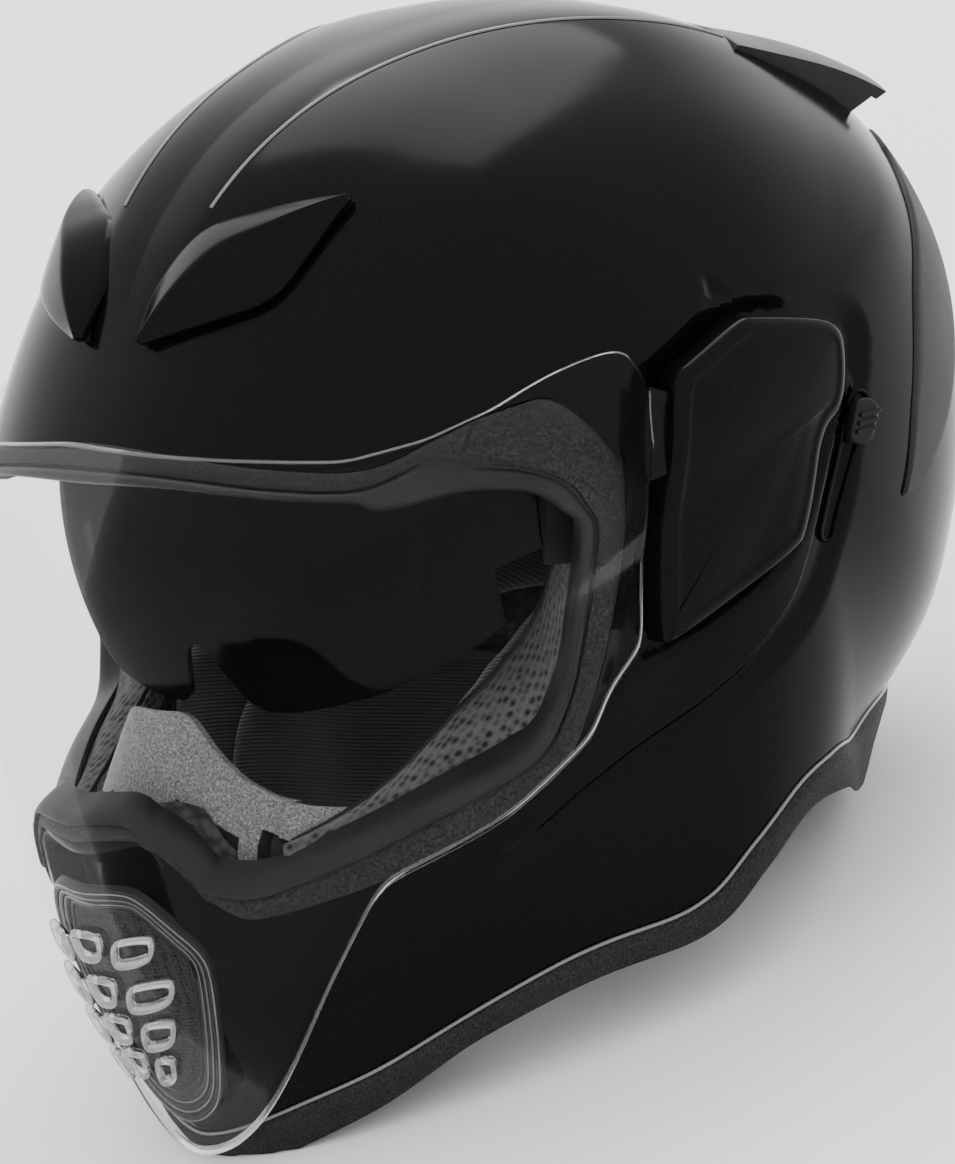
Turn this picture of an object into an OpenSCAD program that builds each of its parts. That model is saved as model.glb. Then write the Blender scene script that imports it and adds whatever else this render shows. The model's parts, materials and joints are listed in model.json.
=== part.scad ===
// Full-face motorcycle helmet with a drop-down sun shield, standing on a table.
// Design frame: origin midway between the ears, +X to the wearer's left, -Y to the front, +Z up.
// The finished part is tipped nose-up onto its chin and its rear rim, which is how it stands.

/* [Shell] */
// Half width of the outer shell at the ears
shell_half_w = 120; // [116:1:124]
// Thickness of the outer shell
shell_wall = 4; // [3:0.5:5]
// Squareness of the shell's cross-section at the sides
side_fullness = 2.2; // [2.1:0.05:2.3]
// Squareness of the narrower chin bar
chin_fullness = 1.7; // [1.65:0.05:1.8]

/* [Padding] */
// Depth of the head space below the shell surface at the sides
liner_depth = 36; // [34:1:37]
// Thickness of the crown's comfort lining
lining_t = 8; // [6:1:9]
// Half gap between the two cheek pads
cheek_gap = 51; // [49:1:53]

/* [Shield] */
// Gap between the shell and the clear shield
shield_gap = 6; // [5.5:0.5:6.5]
// Thickness of the clear shield
shield_t = 2.2; // [2:0.1:2.4]
// Radius of the shield's pivot pins
pivot_r = 7; // [6:0.5:8]

/* [Sun shield] */
// Reach of the sun shield ahead of its pivots
sun_reach = 110; // [108:1:110]
// Half width at which the sun shield would close
sun_half_w = 106; // [104:1:106]
// Radius of the sun shield's pivot pins
sun_pin_r = 4; // [3:0.5:5]

/* [Hidden] */

// How the part stands: nose-up tilt, and where the design origin lies in the standing frame
rest_tilt = 23.5;
rest_y = 30.9;
rest_z = 154.5;

// Mid-plane radius of the shell, one value each 30 degrees, from straight down through
// the front, the crown and the rear
PROFILE = [272, 234, 187, 148, 126, 110, 109, 116, 138, 147, 157, 168];

// Outlines as [angle up from straight ahead, angle out from the mid-plane], left half,
// from the brow round to the chin, or from the nape round to the chin
PORT = [
    [-5, 0], [-6.5, 16], [-8, 27], [-8, 34], [-4.5, 41], [0.5, 50], [0, 54.5], [-10, 60],
    [-20, 61.3], [-38, 57.5], [-51, 49], [-57, 41], [-57, 36], [-53.5, 29], [-51, 22],
    [-47.5, 13.5], [-44.5, 10.6], [-41.5, 9.4], [-38.3, 7], [-37.3, 3], [-37.3, 0]
];
PORT_SEAL = [
    [-8, 0], [-8.7, 16], [-10.4, 26.5], [-12, 36.5], [-12.6, 45.5], [-16, 51.3], [-21, 53.7],
    [-26, 55.1], [-33, 53.5], [-42, 49.4], [-50.4, 43], [-52.2, 36.6], [-48, 25.5],
    [-46, 17.2], [-45, 13.3], [-43, 10.3], [-40, 8.2], [-36.5, 6], [-35.7, 3], [-35.7, 0]
];
RIM = [
    [214, 0], [219, 20], [228, 31], [240, 38], [251, 44], [261, 44.8], [270, 41],
    [275.4, 36.5], [281.6, 32.7], [290.3, 24.4], [295, 15.4], [297.5, 8], [298, 0]
];
// Lower and upper edges of the clear shield, as [angle out, angle up]
SHIELD_LOW = [
    [0, -62.4], [4, -62], [7.3, -60.7], [11.3, -58.2], [15.8, -54.9], [22.6, -50.6], [25.8, -51.7],
    [33.6, -55], [43.5, -57], [48, -54.5], [54, -54], [60, -40], [63.5, -27], [65.5, -10]
];
SHIELD_HIGH = [[0, -4], [16, -5], [32, -6], [40, -4], [47, 0], [55, 8], [61, 13.5], [63.5, 12], [65.5, 3]];

// Height of the side plate's upper and lower edges at each distance back
PLATE_TOP = [[-48, 5], [-41, 13], [-26, 22.5], [4, 22], [11, 20], [14, 14]];
PLATE_BOTTOM = [[-48, -60], [-44, -67], [-4, -41], [1, -27], [5, -9], [14, -3]];

// Pivots as [y, z]
shield_pivot = [-4, -8];
sun_pivot = [-14, -24];
running_gap = 0.05;

// ---------------------------------------------------------------- small helpers

function mix(a, b, u) = a + (b - a) * u;
function ease(u) = let (v = min(max(u, 0), 1)) v * v * (3 - 2 * v);
function turn_of(a) = a - 360 * floor((a + 90) / 360);

// A smooth curve through p1 and p2 that leans on their neighbours
function catmull(p0, p1, p2, p3, u) =
    0.5 * (2 * p1 + (p2 - p0) * u + (2 * p0 - 5 * p1 + 4 * p2 - p3) * u * u
        + (3 * p1 - p0 - 3 * p2 + p3) * u * u * u);

// Tips a point of the design frame into the standing frame
function stand(p) = [
    p.x,
    p.y * cos(rest_tilt) + p.z * sin(rest_tilt) + rest_y,
    p.z * cos(rest_tilt) - p.y * sin(rest_tilt) + rest_z
];
module standing() {
    translate([0, rest_y, rest_z]) rotate([-rest_tilt, 0, 0]) children();
}
// The same place, but with its own axes upright in the standing frame
module upright_at(p) {
    translate(stand(p)) children();
}
module each_side(side) {
    mirror([side < 0 ? 1 : 0, 0, 0]) children();
}

// ---------------------------------------------------------------- the shell surface

function profile_r(a) =
    let (u = (turn_of(a) + 90) / 30, i = floor(u))
    catmull(PROFILE[(i + 11) % 12], PROFILE[i % 12], PROFILE[(i + 1) % 12], PROFILE[(i + 2) % 12], u - i);

// The chin bar is sharper than the sides, with a gradual change between them
function fullness(a) =
    let (b = turn_of(a), chin = b > 180 ? 0 : ease((-5 - b) / 35) * ease((b + 95) / 30))
    mix(side_fullness, chin_fullness, chin);

// The point in direction d at a height off above the shell's outer surface
function skin(d, off) =
    let (a = atan2(d.z, -d.y), n = fullness(a), h = norm([d.y, d.z]))
    d / pow(pow(abs(d.x) / (shell_half_w + off), n) + pow(h / (profile_r(a) + off), n), 1 / n);

// Half width of the surface at a given y and z
function flank(y, z, off) =
    let (a = atan2(z, -y), n = fullness(a), u = norm([y, z]) / (profile_r(a) + off))
    (shell_half_w + off) * pow(max(1 - pow(u, n), 0.001), 1 / n);

// Directions from angles, and from an angle with a distance out from the mid-plane
function aim(a, t) = [sin(t), -cos(t) * cos(a), cos(t) * sin(a)];
function aim_x(a, x) =
    let (n = fullness(a), h = profile_r(a) * pow(1 - pow(abs(x) / shell_half_w, n), 1 / n))
    [x, -h * cos(a), h * sin(a)];

// ---------------------------------------------------------------- oval grid
// The shell is a ring between the eye port and the neck opening. A flat map centred on the
// crown, with confocal ovals about a slot in the port, gives lines that follow both edges.

crown_a = 76;
slot_y = 2.2;
slot_half = 1.6;

function to_map(d) =
    let (u = d / norm(d), a = -u.y * cos(crown_a) + u.z * sin(crown_a))
    let (f = -u.y * cos(crown_a - 90) + u.z * sin(crown_a - 90))
    [u.x, f] * 2 / (1 + a);
function from_map(s) =
    let (q = s * s, a = (4 - q) / (4 + q), f = s.y * 4 / (4 + q))
    [s.x * 4 / (4 + q), -a * cos(crown_a) - f * sin(crown_a), a * sin(crown_a) - f * cos(crown_a)];
function sinh(u) = (exp(u) - exp(-u)) / 2;
function cosh(u) = (exp(u) + exp(-u)) / 2;
function to_oval(s) =
    let (p = [s.x, s.y - slot_y] / slot_half)
    let (m = max((norm(p + [1, 0]) + norm(p - [1, 0])) / 2, 1.0001), r = ln(m + sqrt(m * m - 1)))
    [atan2(p.y / sinh(r), p.x / cosh(r)), r];
function from_oval(th, r) =
    from_map([slot_half * cosh(r) * cos(th), slot_y + slot_half * sinh(r) * sin(th)]);

// An outline's oval radius against its angle, for the left half
function flip_x(p) = [-p.x, p.y];
function edge_table(keys, steps = 8) =
    let (p = [for (k = keys) to_map(aim(k[0], k[1]))], n = len(p) - 1)
    [
        for (i = [0:n - 1], k = [0:steps - 1])
            to_oval(catmull(i == 0 ? flip_x(p[1]) : p[i - 1], p[i], p[i + 1],
                i == n - 1 ? flip_x(p[n - 1]) : p[i + 2], k / steps)),
        to_oval(p[n])
    ];
port_table = edge_table(PORT);
seal_table = edge_table(PORT_SEAL);
rim_table = edge_table(RIM);
// The right half mirrors the left
function left_half(th) =
    let (a = th - 360 * floor((th + 180) / 360))
    abs(a) <= 90 ? a : sign(a) * 180 - a;
function edge_r(table, th) = lookup(left_half(th), table);

// ---------------------------------------------------------------- the block builder
// A closed solid between two sheets of points. upper(i, j) and lower(i, j) give the points,
// and a ring joins its last column to its first.
module block(ni, nj, ring, upper, lower) {
    cols = ring ? ni : ni + 1;
    rows = nj + 1;
    function at(i, j, k) = (k * cols + i % cols) * rows + j;
    function quad(a, b, c, d) = [[a, b, c], [a, c, d]];
    top = [for (i = [0:cols - 1], j = [0:nj]) upper(i, j)];
    bottom = [for (i = [0:cols - 1], j = [0:nj]) lower(i, j)];
    m = floor(ni / 2) * rows + floor(nj / 2);
    outward = cross(top[m + rows] - top[m], top[m + 1] - top[m]) * (top[m] - bottom[m]) > 0;
    faces = [
        for (i = [0:ni - 1], j = [0:nj - 1])
            each concat(
                quad(at(i, j, 0), at(i, j + 1, 0), at(i + 1, j + 1, 0), at(i + 1, j, 0)),
                quad(at(i, j, 1), at(i + 1, j, 1), at(i + 1, j + 1, 1), at(i, j + 1, 1))),
        for (i = [0:ni - 1])
            each concat(
                quad(at(i, 0, 0), at(i + 1, 0, 0), at(i + 1, 0, 1), at(i, 0, 1)),
                quad(at(i, nj, 0), at(i, nj, 1), at(i + 1, nj, 1), at(i + 1, nj, 0))),
        if (!ring) for (j = [0:nj - 1])
            each concat(
                quad(at(0, j, 0), at(0, j, 1), at(0, j + 1, 1), at(0, j + 1, 0)),
                quad(at(ni, j, 0), at(ni, j + 1, 0), at(ni, j + 1, 1), at(ni, j, 1)))
    ];
    polyhedron(points = concat(top, bottom),
        faces = outward ? faces : [for (f = faces) [f[2], f[1], f[0]]]);
}

// A block on the oval grid, from th0 to th1, between two edges, with two heights
module oval_block(th0, th1, ni, nj, r0, r1, high, low) {
    ring = th1 - th0 == 360;
    way = function (i, j) let (th = mix(th0, th1, i / ni)) from_oval(th, mix(r0(th), r1(th), j / nj));
    block(ni, nj, ring,
        function (i, j) let (d = way(i, j)) stand(skin(d, high(d))),
        function (i, j) let (d = way(i, j)) stand(skin(d, low(d))));
}

// A block that lies on the skin over a grid of directions, at two heights
module skin_block(ni, nj, ring, way, high, low) {
    block(ni, nj, ring,
        function (i, j) stand(skin(way(i, j), high(i, j))),
        function (i, j) stand(skin(way(i, j), low(i, j))));
}

// ---------------------------------------------------------------- shell and padding

port_edge = function (th) edge_r(port_table, th);
seal_edge = function (th) edge_r(seal_table, th);
rim_edge = function (th) edge_r(rim_table, th);

// The shell sinks behind the chin vent to leave room for its screen and shutter
vent_recess = 11;
function chin_recess(d, grow = 0) =
    let (a = turn_of(atan2(d.z, -d.y)), p = skin(d, 0))
    vent_recess * ease((26 + grow - abs(p.x)) / 8) * ease((11 + grow / 2 - abs(a + 49)) / 4);

shell_cols = 64;
module outer_shell() {
    color([0.03, 0.03, 0.035])
        oval_block(-180, 180, shell_cols, 18, port_edge, rim_edge,
            function (d) -chin_recess(d), function (d) -shell_wall - chin_recess(d));
}

// The foam's outer face is hollowed over the brow and temples, where the sun shield stows
function pocket(d) =
    let (p = skin(d, -5), u = d / norm(d), a = atan2(d.z, -d.y))
    let (front = ease((14 - 0.72 * max(p.z + 10, 0) - p.y) / 12) * ease((p.z + 95) / 15))
    front * (20 + 10 * ease((25 - a) / 30) * (1 - u.x * u.x));
// The head space is longer than it is wide, and opens out towards the neck
function head_depth(d) =
    let (u = d / norm(d), a = -u.y * cos(crown_a) + u.z * sin(crown_a))
    liner_depth + 12 * pow(max(-u.y, 0), 2) - 20 * ease((-0.1 - a) / 0.6);

module eps_liner() {
    color([0.12, 0.12, 0.13])
        oval_block(-222, 42, 48, 12, function (th) port_edge(th) + 0.05, function (th) rim_edge(th) - 0.03,
            function (d) -shell_wall - 1.6 - pocket(d), function (d) -head_depth(d));
}

module chin_foam() {
    color([0.12, 0.12, 0.13])
        oval_block(46, 134, 24, 8, function (th) port_edge(th) + 0.06, function (th) rim_edge(th) - 0.03,
            function (d) -shell_wall - 1.4 - chin_recess(d, 8), function (d) -18 - 0.4 * chin_recess(d, 8));
}

module crown_liner() {
    color([0.2, 0.2, 0.21])
        oval_block(-171, -9, 32, 8, function (th) port_edge(th) + 0.12, function (th) rim_edge(th) - 0.4,
            function (d) -head_depth(d) - 1, function (d) -head_depth(d) - 1 - lining_t);
}

module neck_roll() {
    color([0.15, 0.15, 0.16])
        oval_block(-140, -40, 28, 5, function (th) rim_edge(th) - 0.34, function (th) rim_edge(th) - 0.06,
            function (d) -head_depth(d) - 2.4, function (d) -head_depth(d) - 14);
}

// Cheek pads fill the space between the foam and the wearer's jaw, below the sun shield's travel
function pad_top(y) = y > -14 ? -36 : -36 + 0.8 * (y + 14);
function pad_bottom(y) = -112 - 0.44 * (28 - y);
function pad_outer(y, z) =
    let (x = flank(y, z, -head_depth([flank(y, z, 0), y, z])))
    min(x - 3, mix(69, 88, ease((-18 - y) / 14)));
module cheek_pad(side) {
    ni = 14;
    nj = 8;
    // Points crowd towards the edges, where the pad rounds over
    spread = function (i, n) (1 - cos(180 * i / n)) / 2;
    y_at = function (i) mix(-72, 28, spread(i, ni));
    z_at = function (i, j) mix(pad_top(y_at(i)), pad_bottom(y_at(i)), spread(j, nj));
    soft = function (i, j) sqrt(max(sin(180 * i / ni) * sin(180 * j / nj), 0.02));
    color([0.2, 0.2, 0.21]) block(ni, nj, false,
        function (i, j) let (y = y_at(i), z = z_at(i, j), x = pad_outer(y, z))
            stand([side * mix(mix(x, cheek_gap, 0.3), x, soft(i, j)), y, z]),
        function (i, j) let (y = y_at(i), z = z_at(i, j), x = pad_outer(y, z))
            stand([side * mix(mix(x, cheek_gap, 0.5), cheek_gap, soft(i, j)), y, z]));
}
module cheek_pad_left() { cheek_pad(1); }
module cheek_pad_right() { cheek_pad(-1); }

// ---------------------------------------------------------------- edges and trim

module eyeport_gasket() {
    color([0.18, 0.18, 0.19])
        oval_block(-180, 180, 72, 2, seal_edge, function (th) port_edge(th) - 0.008,
            function (d) 1, function (d) -7);
}

// The rubber edge trim is deep and flared at the nape, and slim along the jaw. Its underside is
// cut level where the part stands on it.
function nape(th) = ease((-sin(th) - 0.3) / 0.6);
module base_trim() {
    nj = 3;
    way = function (i, j) let (th = -180 + 360 * i / shell_cols, r = rim_edge(th) + 0.004)
        from_oval(th, r + (0.065 + 0.14 * nape(th) + 0.05 * ease(sin(th) * 3 - 2)) * j / nj);
    flare = function (i, j) let (th = -180 + 360 * i / shell_cols)
        2 + 9 * nape(th) * (j / nj);
    level = function (p) [p.x, p.y, max(p.z, 0)];
    color([0.14, 0.14, 0.15]) block(shell_cols, nj, true,
        function (i, j) level(stand(skin(way(i, j), flare(i, j)))),
        function (i, j) level(stand(skin(way(i, j), flare(i, j) - 11 + 2 * j))));
}

module chin_curtain() {
    nj = 3;
    x_at = function (i) mix(-42, 42, i / 14);
    front = function (x) skin(aim_x(297, x), -14);
    place = function (i, j, up) let (f = front(x_at(i)))
        stand([x_at(i), mix(f.y, -66 + 0.004 * pow(x_at(i), 2), j / nj),
            f.z + mix(2, 10, j / nj) + up]);
    color([0.3, 0.3, 0.3])
        block(14, nj, false, function (i, j) place(i, j, 1.6), function (i, j) place(i, j, 0));
}

module breath_deflector() {
    nj = 3;
    x_at = function (i) mix(-62, 62, i / 24);
    base = function (x) skin(aim_x(-42 - 0.0009 * x * x, x), -21);
    rise = function (x) mix(34, 13, ease(abs(x) / 62));
    place = function (i, j, back) let (x = x_at(i), b = base(x))
        stand([x, b.y + 6 * j / nj + back, b.z + rise(x) * j / nj]);
    color([0.42, 0.42, 0.43])
        block(24, nj, false, function (i, j) place(i, j, 0), function (i, j) place(i, j, 2.2));
}

// ---------------------------------------------------------------- chin vent

// Half width of the vent at each angle below straight ahead
VENT_W = [[-59.5, 12], [-58, 17], [-54, 24], [-50, 30], [-47.5, 31], [-42, 19], [-40.5, 15]];
vent_low = -59;
vent_high = -41;
module chin_vent_frame() {
    // Walks up the left edge and down the right one
    n = 14;
    half = function (u, s) let (a = mix(vent_low, vent_high, u), b = mix(-50, a, s))
        aim_x(b, s * lookup(a, VENT_W));
    way = function (i, j) let (s = 1 - 0.17 * j, k = i % (2 * n), d = half((k < n ? k : 2 * n - 1 - k) / (n - 1), s))
        k < n ? d : [-d.x, d.y, d.z];
    color([0.16, 0.16, 0.17])
        skin_block(2 * n, 2, true, way, function (i, j) 3.6 - 1.2 * j, function (i, j) 0.7 - 0.6 * j);
}

module chin_vent_mesh() {
    way = function (i, j) let (a = mix(vent_low + 1.6, vent_high - 1.6, i / 12))
        aim_x(a, 0.7 * lookup(a, VENT_W) * (j / 3 - 1));
    color([0.1, 0.1, 0.1])
        skin_block(12, 6, false, way, function (i, j) -0.7, function (i, j) -1.7);
}

// The shutter slides down behind the screen, along the slope of the chin
shutter_a = -50;
chin_slope = 29.5;
module chin_vent_shutter() {
    w = 22;
    h = 34;
    t = 1.6;
    slots = 4;
    centre = skin(aim(shutter_a, 0), -6.6);
    color([0.25, 0.25, 0.26]) standing() translate(centre) rotate([chin_slope, 0, 0])
        difference() {
            cube([w, t, h], center = true);
            for (k = [0:slots - 1])
                translate([0, 0, (k - (slots - 1) / 2) * 8]) cube([w - 8, 3 * t, 3.4], center = true);
        }
}

// ---------------------------------------------------------------- side plates and shield

module at_pivot(pivot, side) {
    standing() each_side(side) translate([0, pivot[0], pivot[1]]) rotate([0, 90, 0]) children();
}

base_x = shell_half_w + 0.4;
base_sink = 1.6;
arm_x = base_x + 0.2;
arm_t = 2;
arm_reach = 53;
arm_half_a = 14;
module pivot_base(side) {
    color([0.3, 0.3, 0.31]) at_pivot(shield_pivot, side) {
        translate([0, 0, base_x - base_sink]) cylinder(h = base_sink, r = 16, $fn = 64);
        translate([0, 0, base_x]) cylinder(h = arm_t + 1.4, r = pivot_r, $fn = 48);
    }
}
module pivot_base_left() { pivot_base(1); }
module pivot_base_right() { pivot_base(-1); }

// The arm's disc turns on the pivot pin under the side plate. Its bar leans in with the shell
// and ends under the shield's rear edge.
module shield_arm(side) {
    color([0.6, 0.62, 0.64, 0.6]) at_pivot(shield_pivot, side) translate([0, 0, arm_x])
        difference() {
            union() {
                cylinder(h = arm_t, r = 13, $fn = 64);
                rotate_extrude(angle = 2 * arm_half_a, start = -90 - arm_half_a, $fn = 120)
                    polygon([[12, 0], [arm_reach, -1.9], [arm_reach, 0.1], [12, arm_t]]);
            }
            translate([0, 0, -1]) cylinder(h = arm_t + 2, r = pivot_r + running_gap, $fn = 64);
        }
}
module shield_arm_left() { shield_arm(1); }
module shield_arm_right() { shield_arm(-1); }

// Grid of the side plate: the outer columns and rows shape its bevelled edge
module side_plate(side) {
    ni = 16;
    nj = 10;
    u_at = function (i, n) i == 0 ? 0 : i == n ? 1 : mix(0.05, 0.95, (i - 1) / (n - 2));
    y_at = function (i) mix(-48, 14, u_at(i, ni));
    z_at = function (i, j) mix(lookup(y_at(i), PLATE_BOTTOM), lookup(y_at(i), PLATE_TOP), u_at(j, nj));
    rim = function (i, j) i == 0 || j == 0 || i == ni || j == nj;
    place = function (i, j, off) let (y = y_at(i), z = z_at(i, j)) stand([side * flank(y, z, off), y, z]);
    // The rear and lower edges reach down to the shell; the front, the top and the corner beside
    // the pivot stay open for the arm
    from_pivot = function (i, j) norm([y_at(i), z_at(i, j)] - shield_pivot);
    skirt = function (i, j) i == ni || (j == 0 && y_at(i) > -30 && from_pivot(i, j) > 20);
    color([0.03, 0.03, 0.035]) block(ni, nj, false,
        function (i, j) place(i, j, rim(i, j) ? 8 : 9.4),
        function (i, j) place(i, j, skirt(i, j) ? 0.5 : 7.1));
}
module side_plate_left() { side_plate(1); }
module side_plate_right() { side_plate(-1); }

module shield() {
    ni = 44;
    nj = 8;
    reach = 65.5;
    way = function (i, j)
        let (t = mix(-reach, reach, i / ni), low = lookup(abs(t), SHIELD_LOW), high = lookup(abs(t), SHIELD_HIGH))
        aim(mix(low, high, j / nj), t);
    color([0.85, 0.88, 0.9, 0.25]) skin_block(ni, nj, false, way,
        function (i, j) shield_gap + shield_t, function (i, j) shield_gap);
}

// ---------------------------------------------------------------- sun shield

sun_t = 2;
function sun_r(x, reach) = reach * pow(1 - pow(abs(x) / sun_half_w, 2.5), 0.4);
// Lowest angle of the sun shield at each distance from the mid-plane, with a nose notch
SUN_LOW = [[0, -26], [12, -31], [25, -33.5], [60, -33], [80, -31], [91, -24], [96, -16]];
sun_high = 8;
module sun_lens() {
    ni = 32;
    nj = 5;
    x_at = function (i) 96 * sin(90 * (2 * i / ni - 1));
    place = function (i, j, reach) let (x = x_at(i), a = mix(lookup(abs(x), SUN_LOW), sun_high, j / nj))
        stand([x, sun_pivot[0] - sun_r(x, reach) * cos(a), sun_pivot[1] + sun_r(x, reach) * sin(a)]);
    color([0.1, 0.1, 0.11, 0.6]) block(ni, nj, false,
        function (i, j) place(i, j, sun_reach), function (i, j) place(i, j, sun_reach - sun_t));
}

sun_arm_x = 95;
module sun_arm(side) {
    color([0.12, 0.12, 0.13]) at_pivot(sun_pivot, side) translate([0, 0, sun_arm_x])
        difference() {
            linear_extrude(2.2) union() {
                circle(r = 11, $fn = 48);
                polygon([[-7, 0], [-7, -58], [20, -56], [20, -48], [8, 0]]);
            }
            translate([0, 0, -1]) cylinder(h = 5, r = sun_pin_r + running_gap, $fn = 48);
        }
}
module sun_arm_left() { sun_arm(1); }
module sun_arm_right() { sun_arm(-1); }

module sun_bracket(side) {
    color([0.3, 0.3, 0.31]) at_pivot(sun_pivot, side) {
        translate([0, 0, 99]) cylinder(h = 17, r = 8, $fn = 48);
        translate([0, 0, 94.4]) cylinder(h = 5, r = sun_pin_r, $fn = 48);
    }
}
module sun_bracket_left() { sun_bracket(1); }
module sun_bracket_right() { sun_bracket(-1); }

// The lever slides in a slotted track behind the left side plate
lever_top = [30, -6];
lever_bottom = [22, -38];
lever_lean = atan2(lever_top[0] - lever_bottom[0], lever_top[1] - lever_bottom[1]);
lever_x = shell_half_w - 1;
slot_w = 5;
module at_lever() {
    standing() translate([lever_x, lever_top[0], lever_top[1]]) rotate([-lever_lean, 0, 0]) children();
}
module lever_track() {
    color([0.2, 0.2, 0.21]) at_lever() translate([1.4, 0, 0]) rotate([0, 90, 0]) difference() {
        linear_extrude(1.6) translate([16.5, 0]) square([48, 11], center = true);
        translate([0, 0, -1]) linear_extrude(4) translate([15, 0]) square([36, slot_w], center = true);
    }
}
module sun_lever() {
    color([0.35, 0.35, 0.36]) at_lever() {
        translate([1.3, -slot_w / 2 + 0.4, -3.5]) cube([3.4, slot_w - 0.8, 6]);
        translate([4.4, -4, -4]) cube([3, 8, 9]);
    }
}

// ---------------------------------------------------------------- forehead vents

// Stations along the vent: inner edge and outer edge, each as [up angle, out angle]
VENT_INNER = [[6.2, 4.6], [13, 4.6], [20.3, 7.8], [23.8, 15], [28.2, 25]];
VENT_OUTER = [[6, 5.6], [9.2, 14.8], [12.4, 20.6], [18, 23.2], [27.6, 25.6]];
function along(list, u) =
    let (n = len(list) - 1, s = min(u * n, n - 0.0001), i = floor(s)) mix(list[i], list[i + 1], s - i);
vent_steps = 8;
module vent_piece(side, inset, edge_h, ridge_h, low) {
    way = function (i, j)
        let (u = i / vent_steps, a = along(VENT_INNER, u), b = along(VENT_OUTER, u))
        let (k = mix(a, b, mix(inset, 1 - inset, [0, 0.38, 1][j])), d = aim(k[0], k[1]))
        [side * d.x, d.y, d.z];
    skin_block(vent_steps, 2, false, way,
        function (i, j) j == 1 ? mix(edge_h, ridge_h, sin(180 * i / vent_steps)) : edge_h,
        function (i, j) low);
}
module vent_cover(side) {
    color([0.04, 0.04, 0.045]) vent_piece(side, 0, 3.4, 9.5, 2);
}
module vent_cover_left() { vent_cover(1); }
module vent_cover_right() { vent_cover(-1); }
module vent_base(side) {
    color([0.2, 0.2, 0.21]) vent_piece(side, 0.2, 0.9, 0.9, 0.3);
}
module vent_base_left() { vent_base(1); }
module vent_base_right() { vent_base(-1); }

// ---------------------------------------------------------------- rear

// The spoiler leaves the crown flush and rises to a blunt tail over the exhaust outlets
module rear_spoiler() {
    ni = 8;
    nj = 16;
    front_a = function (x) 117 - 0.0012 * x * x;
    way = function (i, j) let (x = mix(-58, 58, j / nj)) aim_x(mix(front_a(x), 140, i / ni), x);
    rise = function (i) 1.2 + 15.5 * pow(i / ni, 1.3);
    color([0.1, 0.1, 0.1])
        skin_block(ni, nj, false, way, function (i, j) rise(i), function (i, j) 0.4 + 4 * pow(i / ni, 1.3));
}

PANEL_FRONT = [[146, 30], [148, 43], [160, 57], [184, 62], [208, 60]];
PANEL_REAR = [[146, 22], [152, 30], [166, 41], [184, 50], [207, 59]];
module rear_panel(side) {
    way = function (i, j) let (k = mix(along(PANEL_FRONT, i / 14), along(PANEL_REAR, i / 14), j / 3), d = aim(k[0], k[1]))
        [side * d.x, d.y, d.z];
    color([0.07, 0.07, 0.07])
        skin_block(14, 3, false, way, function (i, j) 1.9, function (i, j) 0.5);
}
module rear_panel_left() { rear_panel(1); }
module rear_panel_right() { rear_panel(-1); }

// ---------------------------------------------------------------- retention strap

strap_w = 20;
strap_t = 1.6;
strap_x = 72.5;
strap_top = [strap_x, 4, -78];
strap_drop = 46;
ring_gap = 2.7;
ring_r = 14;
wire_r = 2;
module strap_anchors() {
    color([0.7, 0.7, 0.72]) for (side = [1, -1])
        upright_at([side * strap_x, strap_top.y, strap_top.z]) {
            translate([-strap_t, -8, 0.2]) cube([2 * strap_t, 16, 12]);
            translate([side > 0 ? 0 : -12, -8, 4]) cube([12, 16, 4]);
        }
}
// The left strap ends in a sewn loop that holds both rings' straight bars
module strap_left() {
    color([0.08, 0.08, 0.08]) upright_at(strap_top) difference() {
        union() {
            translate([-strap_t / 2, -strap_w / 2, -strap_drop + 3]) cube([strap_t, strap_w, strap_drop - 3]);
            translate([-5.4, -strap_w / 2, -strap_drop - 3.4]) cube([10.8, strap_w, 6.8]);
        }
        for (s = [1, -1])
            translate([s * ring_gap, strap_w, -strap_drop]) rotate([90, 0, 0])
                cylinder(h = 2 * strap_w, r = wire_r + running_gap, $fn = 48);
    }
}
module strap_right() {
    // Hangs, then folds inwards along a quarter round
    bend = 14;
    color([0.08, 0.08, 0.08]) upright_at([-strap_x, strap_top.y, strap_top.z]) {
        translate([-strap_t / 2, -strap_w / 2, -strap_drop]) cube([strap_t, strap_w, strap_drop]);
        translate([bend, 0, -strap_drop]) rotate([90, 0, 0])
            rotate_extrude(angle = 90, start = 180, $fn = 96)
                translate([bend, 0]) square([strap_t, strap_w], center = true);
    }
}
module d_ring(s) {
    color([0.75, 0.75, 0.77]) upright_at(strap_top) translate([s * ring_gap, 0, -strap_drop]) rotate([0, 90, 0]) {
        rotate([90, 0, 0]) cylinder(h = 2 * ring_r, r = wire_r, center = true, $fn = 48);
        rotate_extrude(angle = 180, start = -90, $fn = 96) translate([ring_r, 0]) circle(r = wire_r, $fn = 32);
    }
}
module d_ring_outer() { d_ring(1); }
module d_ring_inner() { d_ring(-1); }

// ---------------------------------------------------------------- what is drawn

outer_shell();
eps_liner();
chin_foam();
crown_liner();
neck_roll();
cheek_pad_left();
cheek_pad_right();
eyeport_gasket();
base_trim();
breath_deflector();
chin_curtain();
chin_vent_frame();
chin_vent_mesh();
chin_vent_shutter();
pivot_base_left();
pivot_base_right();
side_plate_left();
side_plate_right();
shield();
shield_arm_left();
shield_arm_right();
sun_lens();
sun_arm_left();
sun_arm_right();
sun_bracket_left();
sun_bracket_right();
lever_track();
sun_lever();
vent_base_left();
vent_base_right();
vent_cover_left();
vent_cover_right();
rear_spoiler();
rear_panel_left();
rear_panel_right();
strap_anchors();
strap_left();
strap_right();
d_ring_outer();
d_ring_inner();
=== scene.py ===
"""Looks of the full-face motorcycle helmet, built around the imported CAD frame."""
import json
import math

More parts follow.
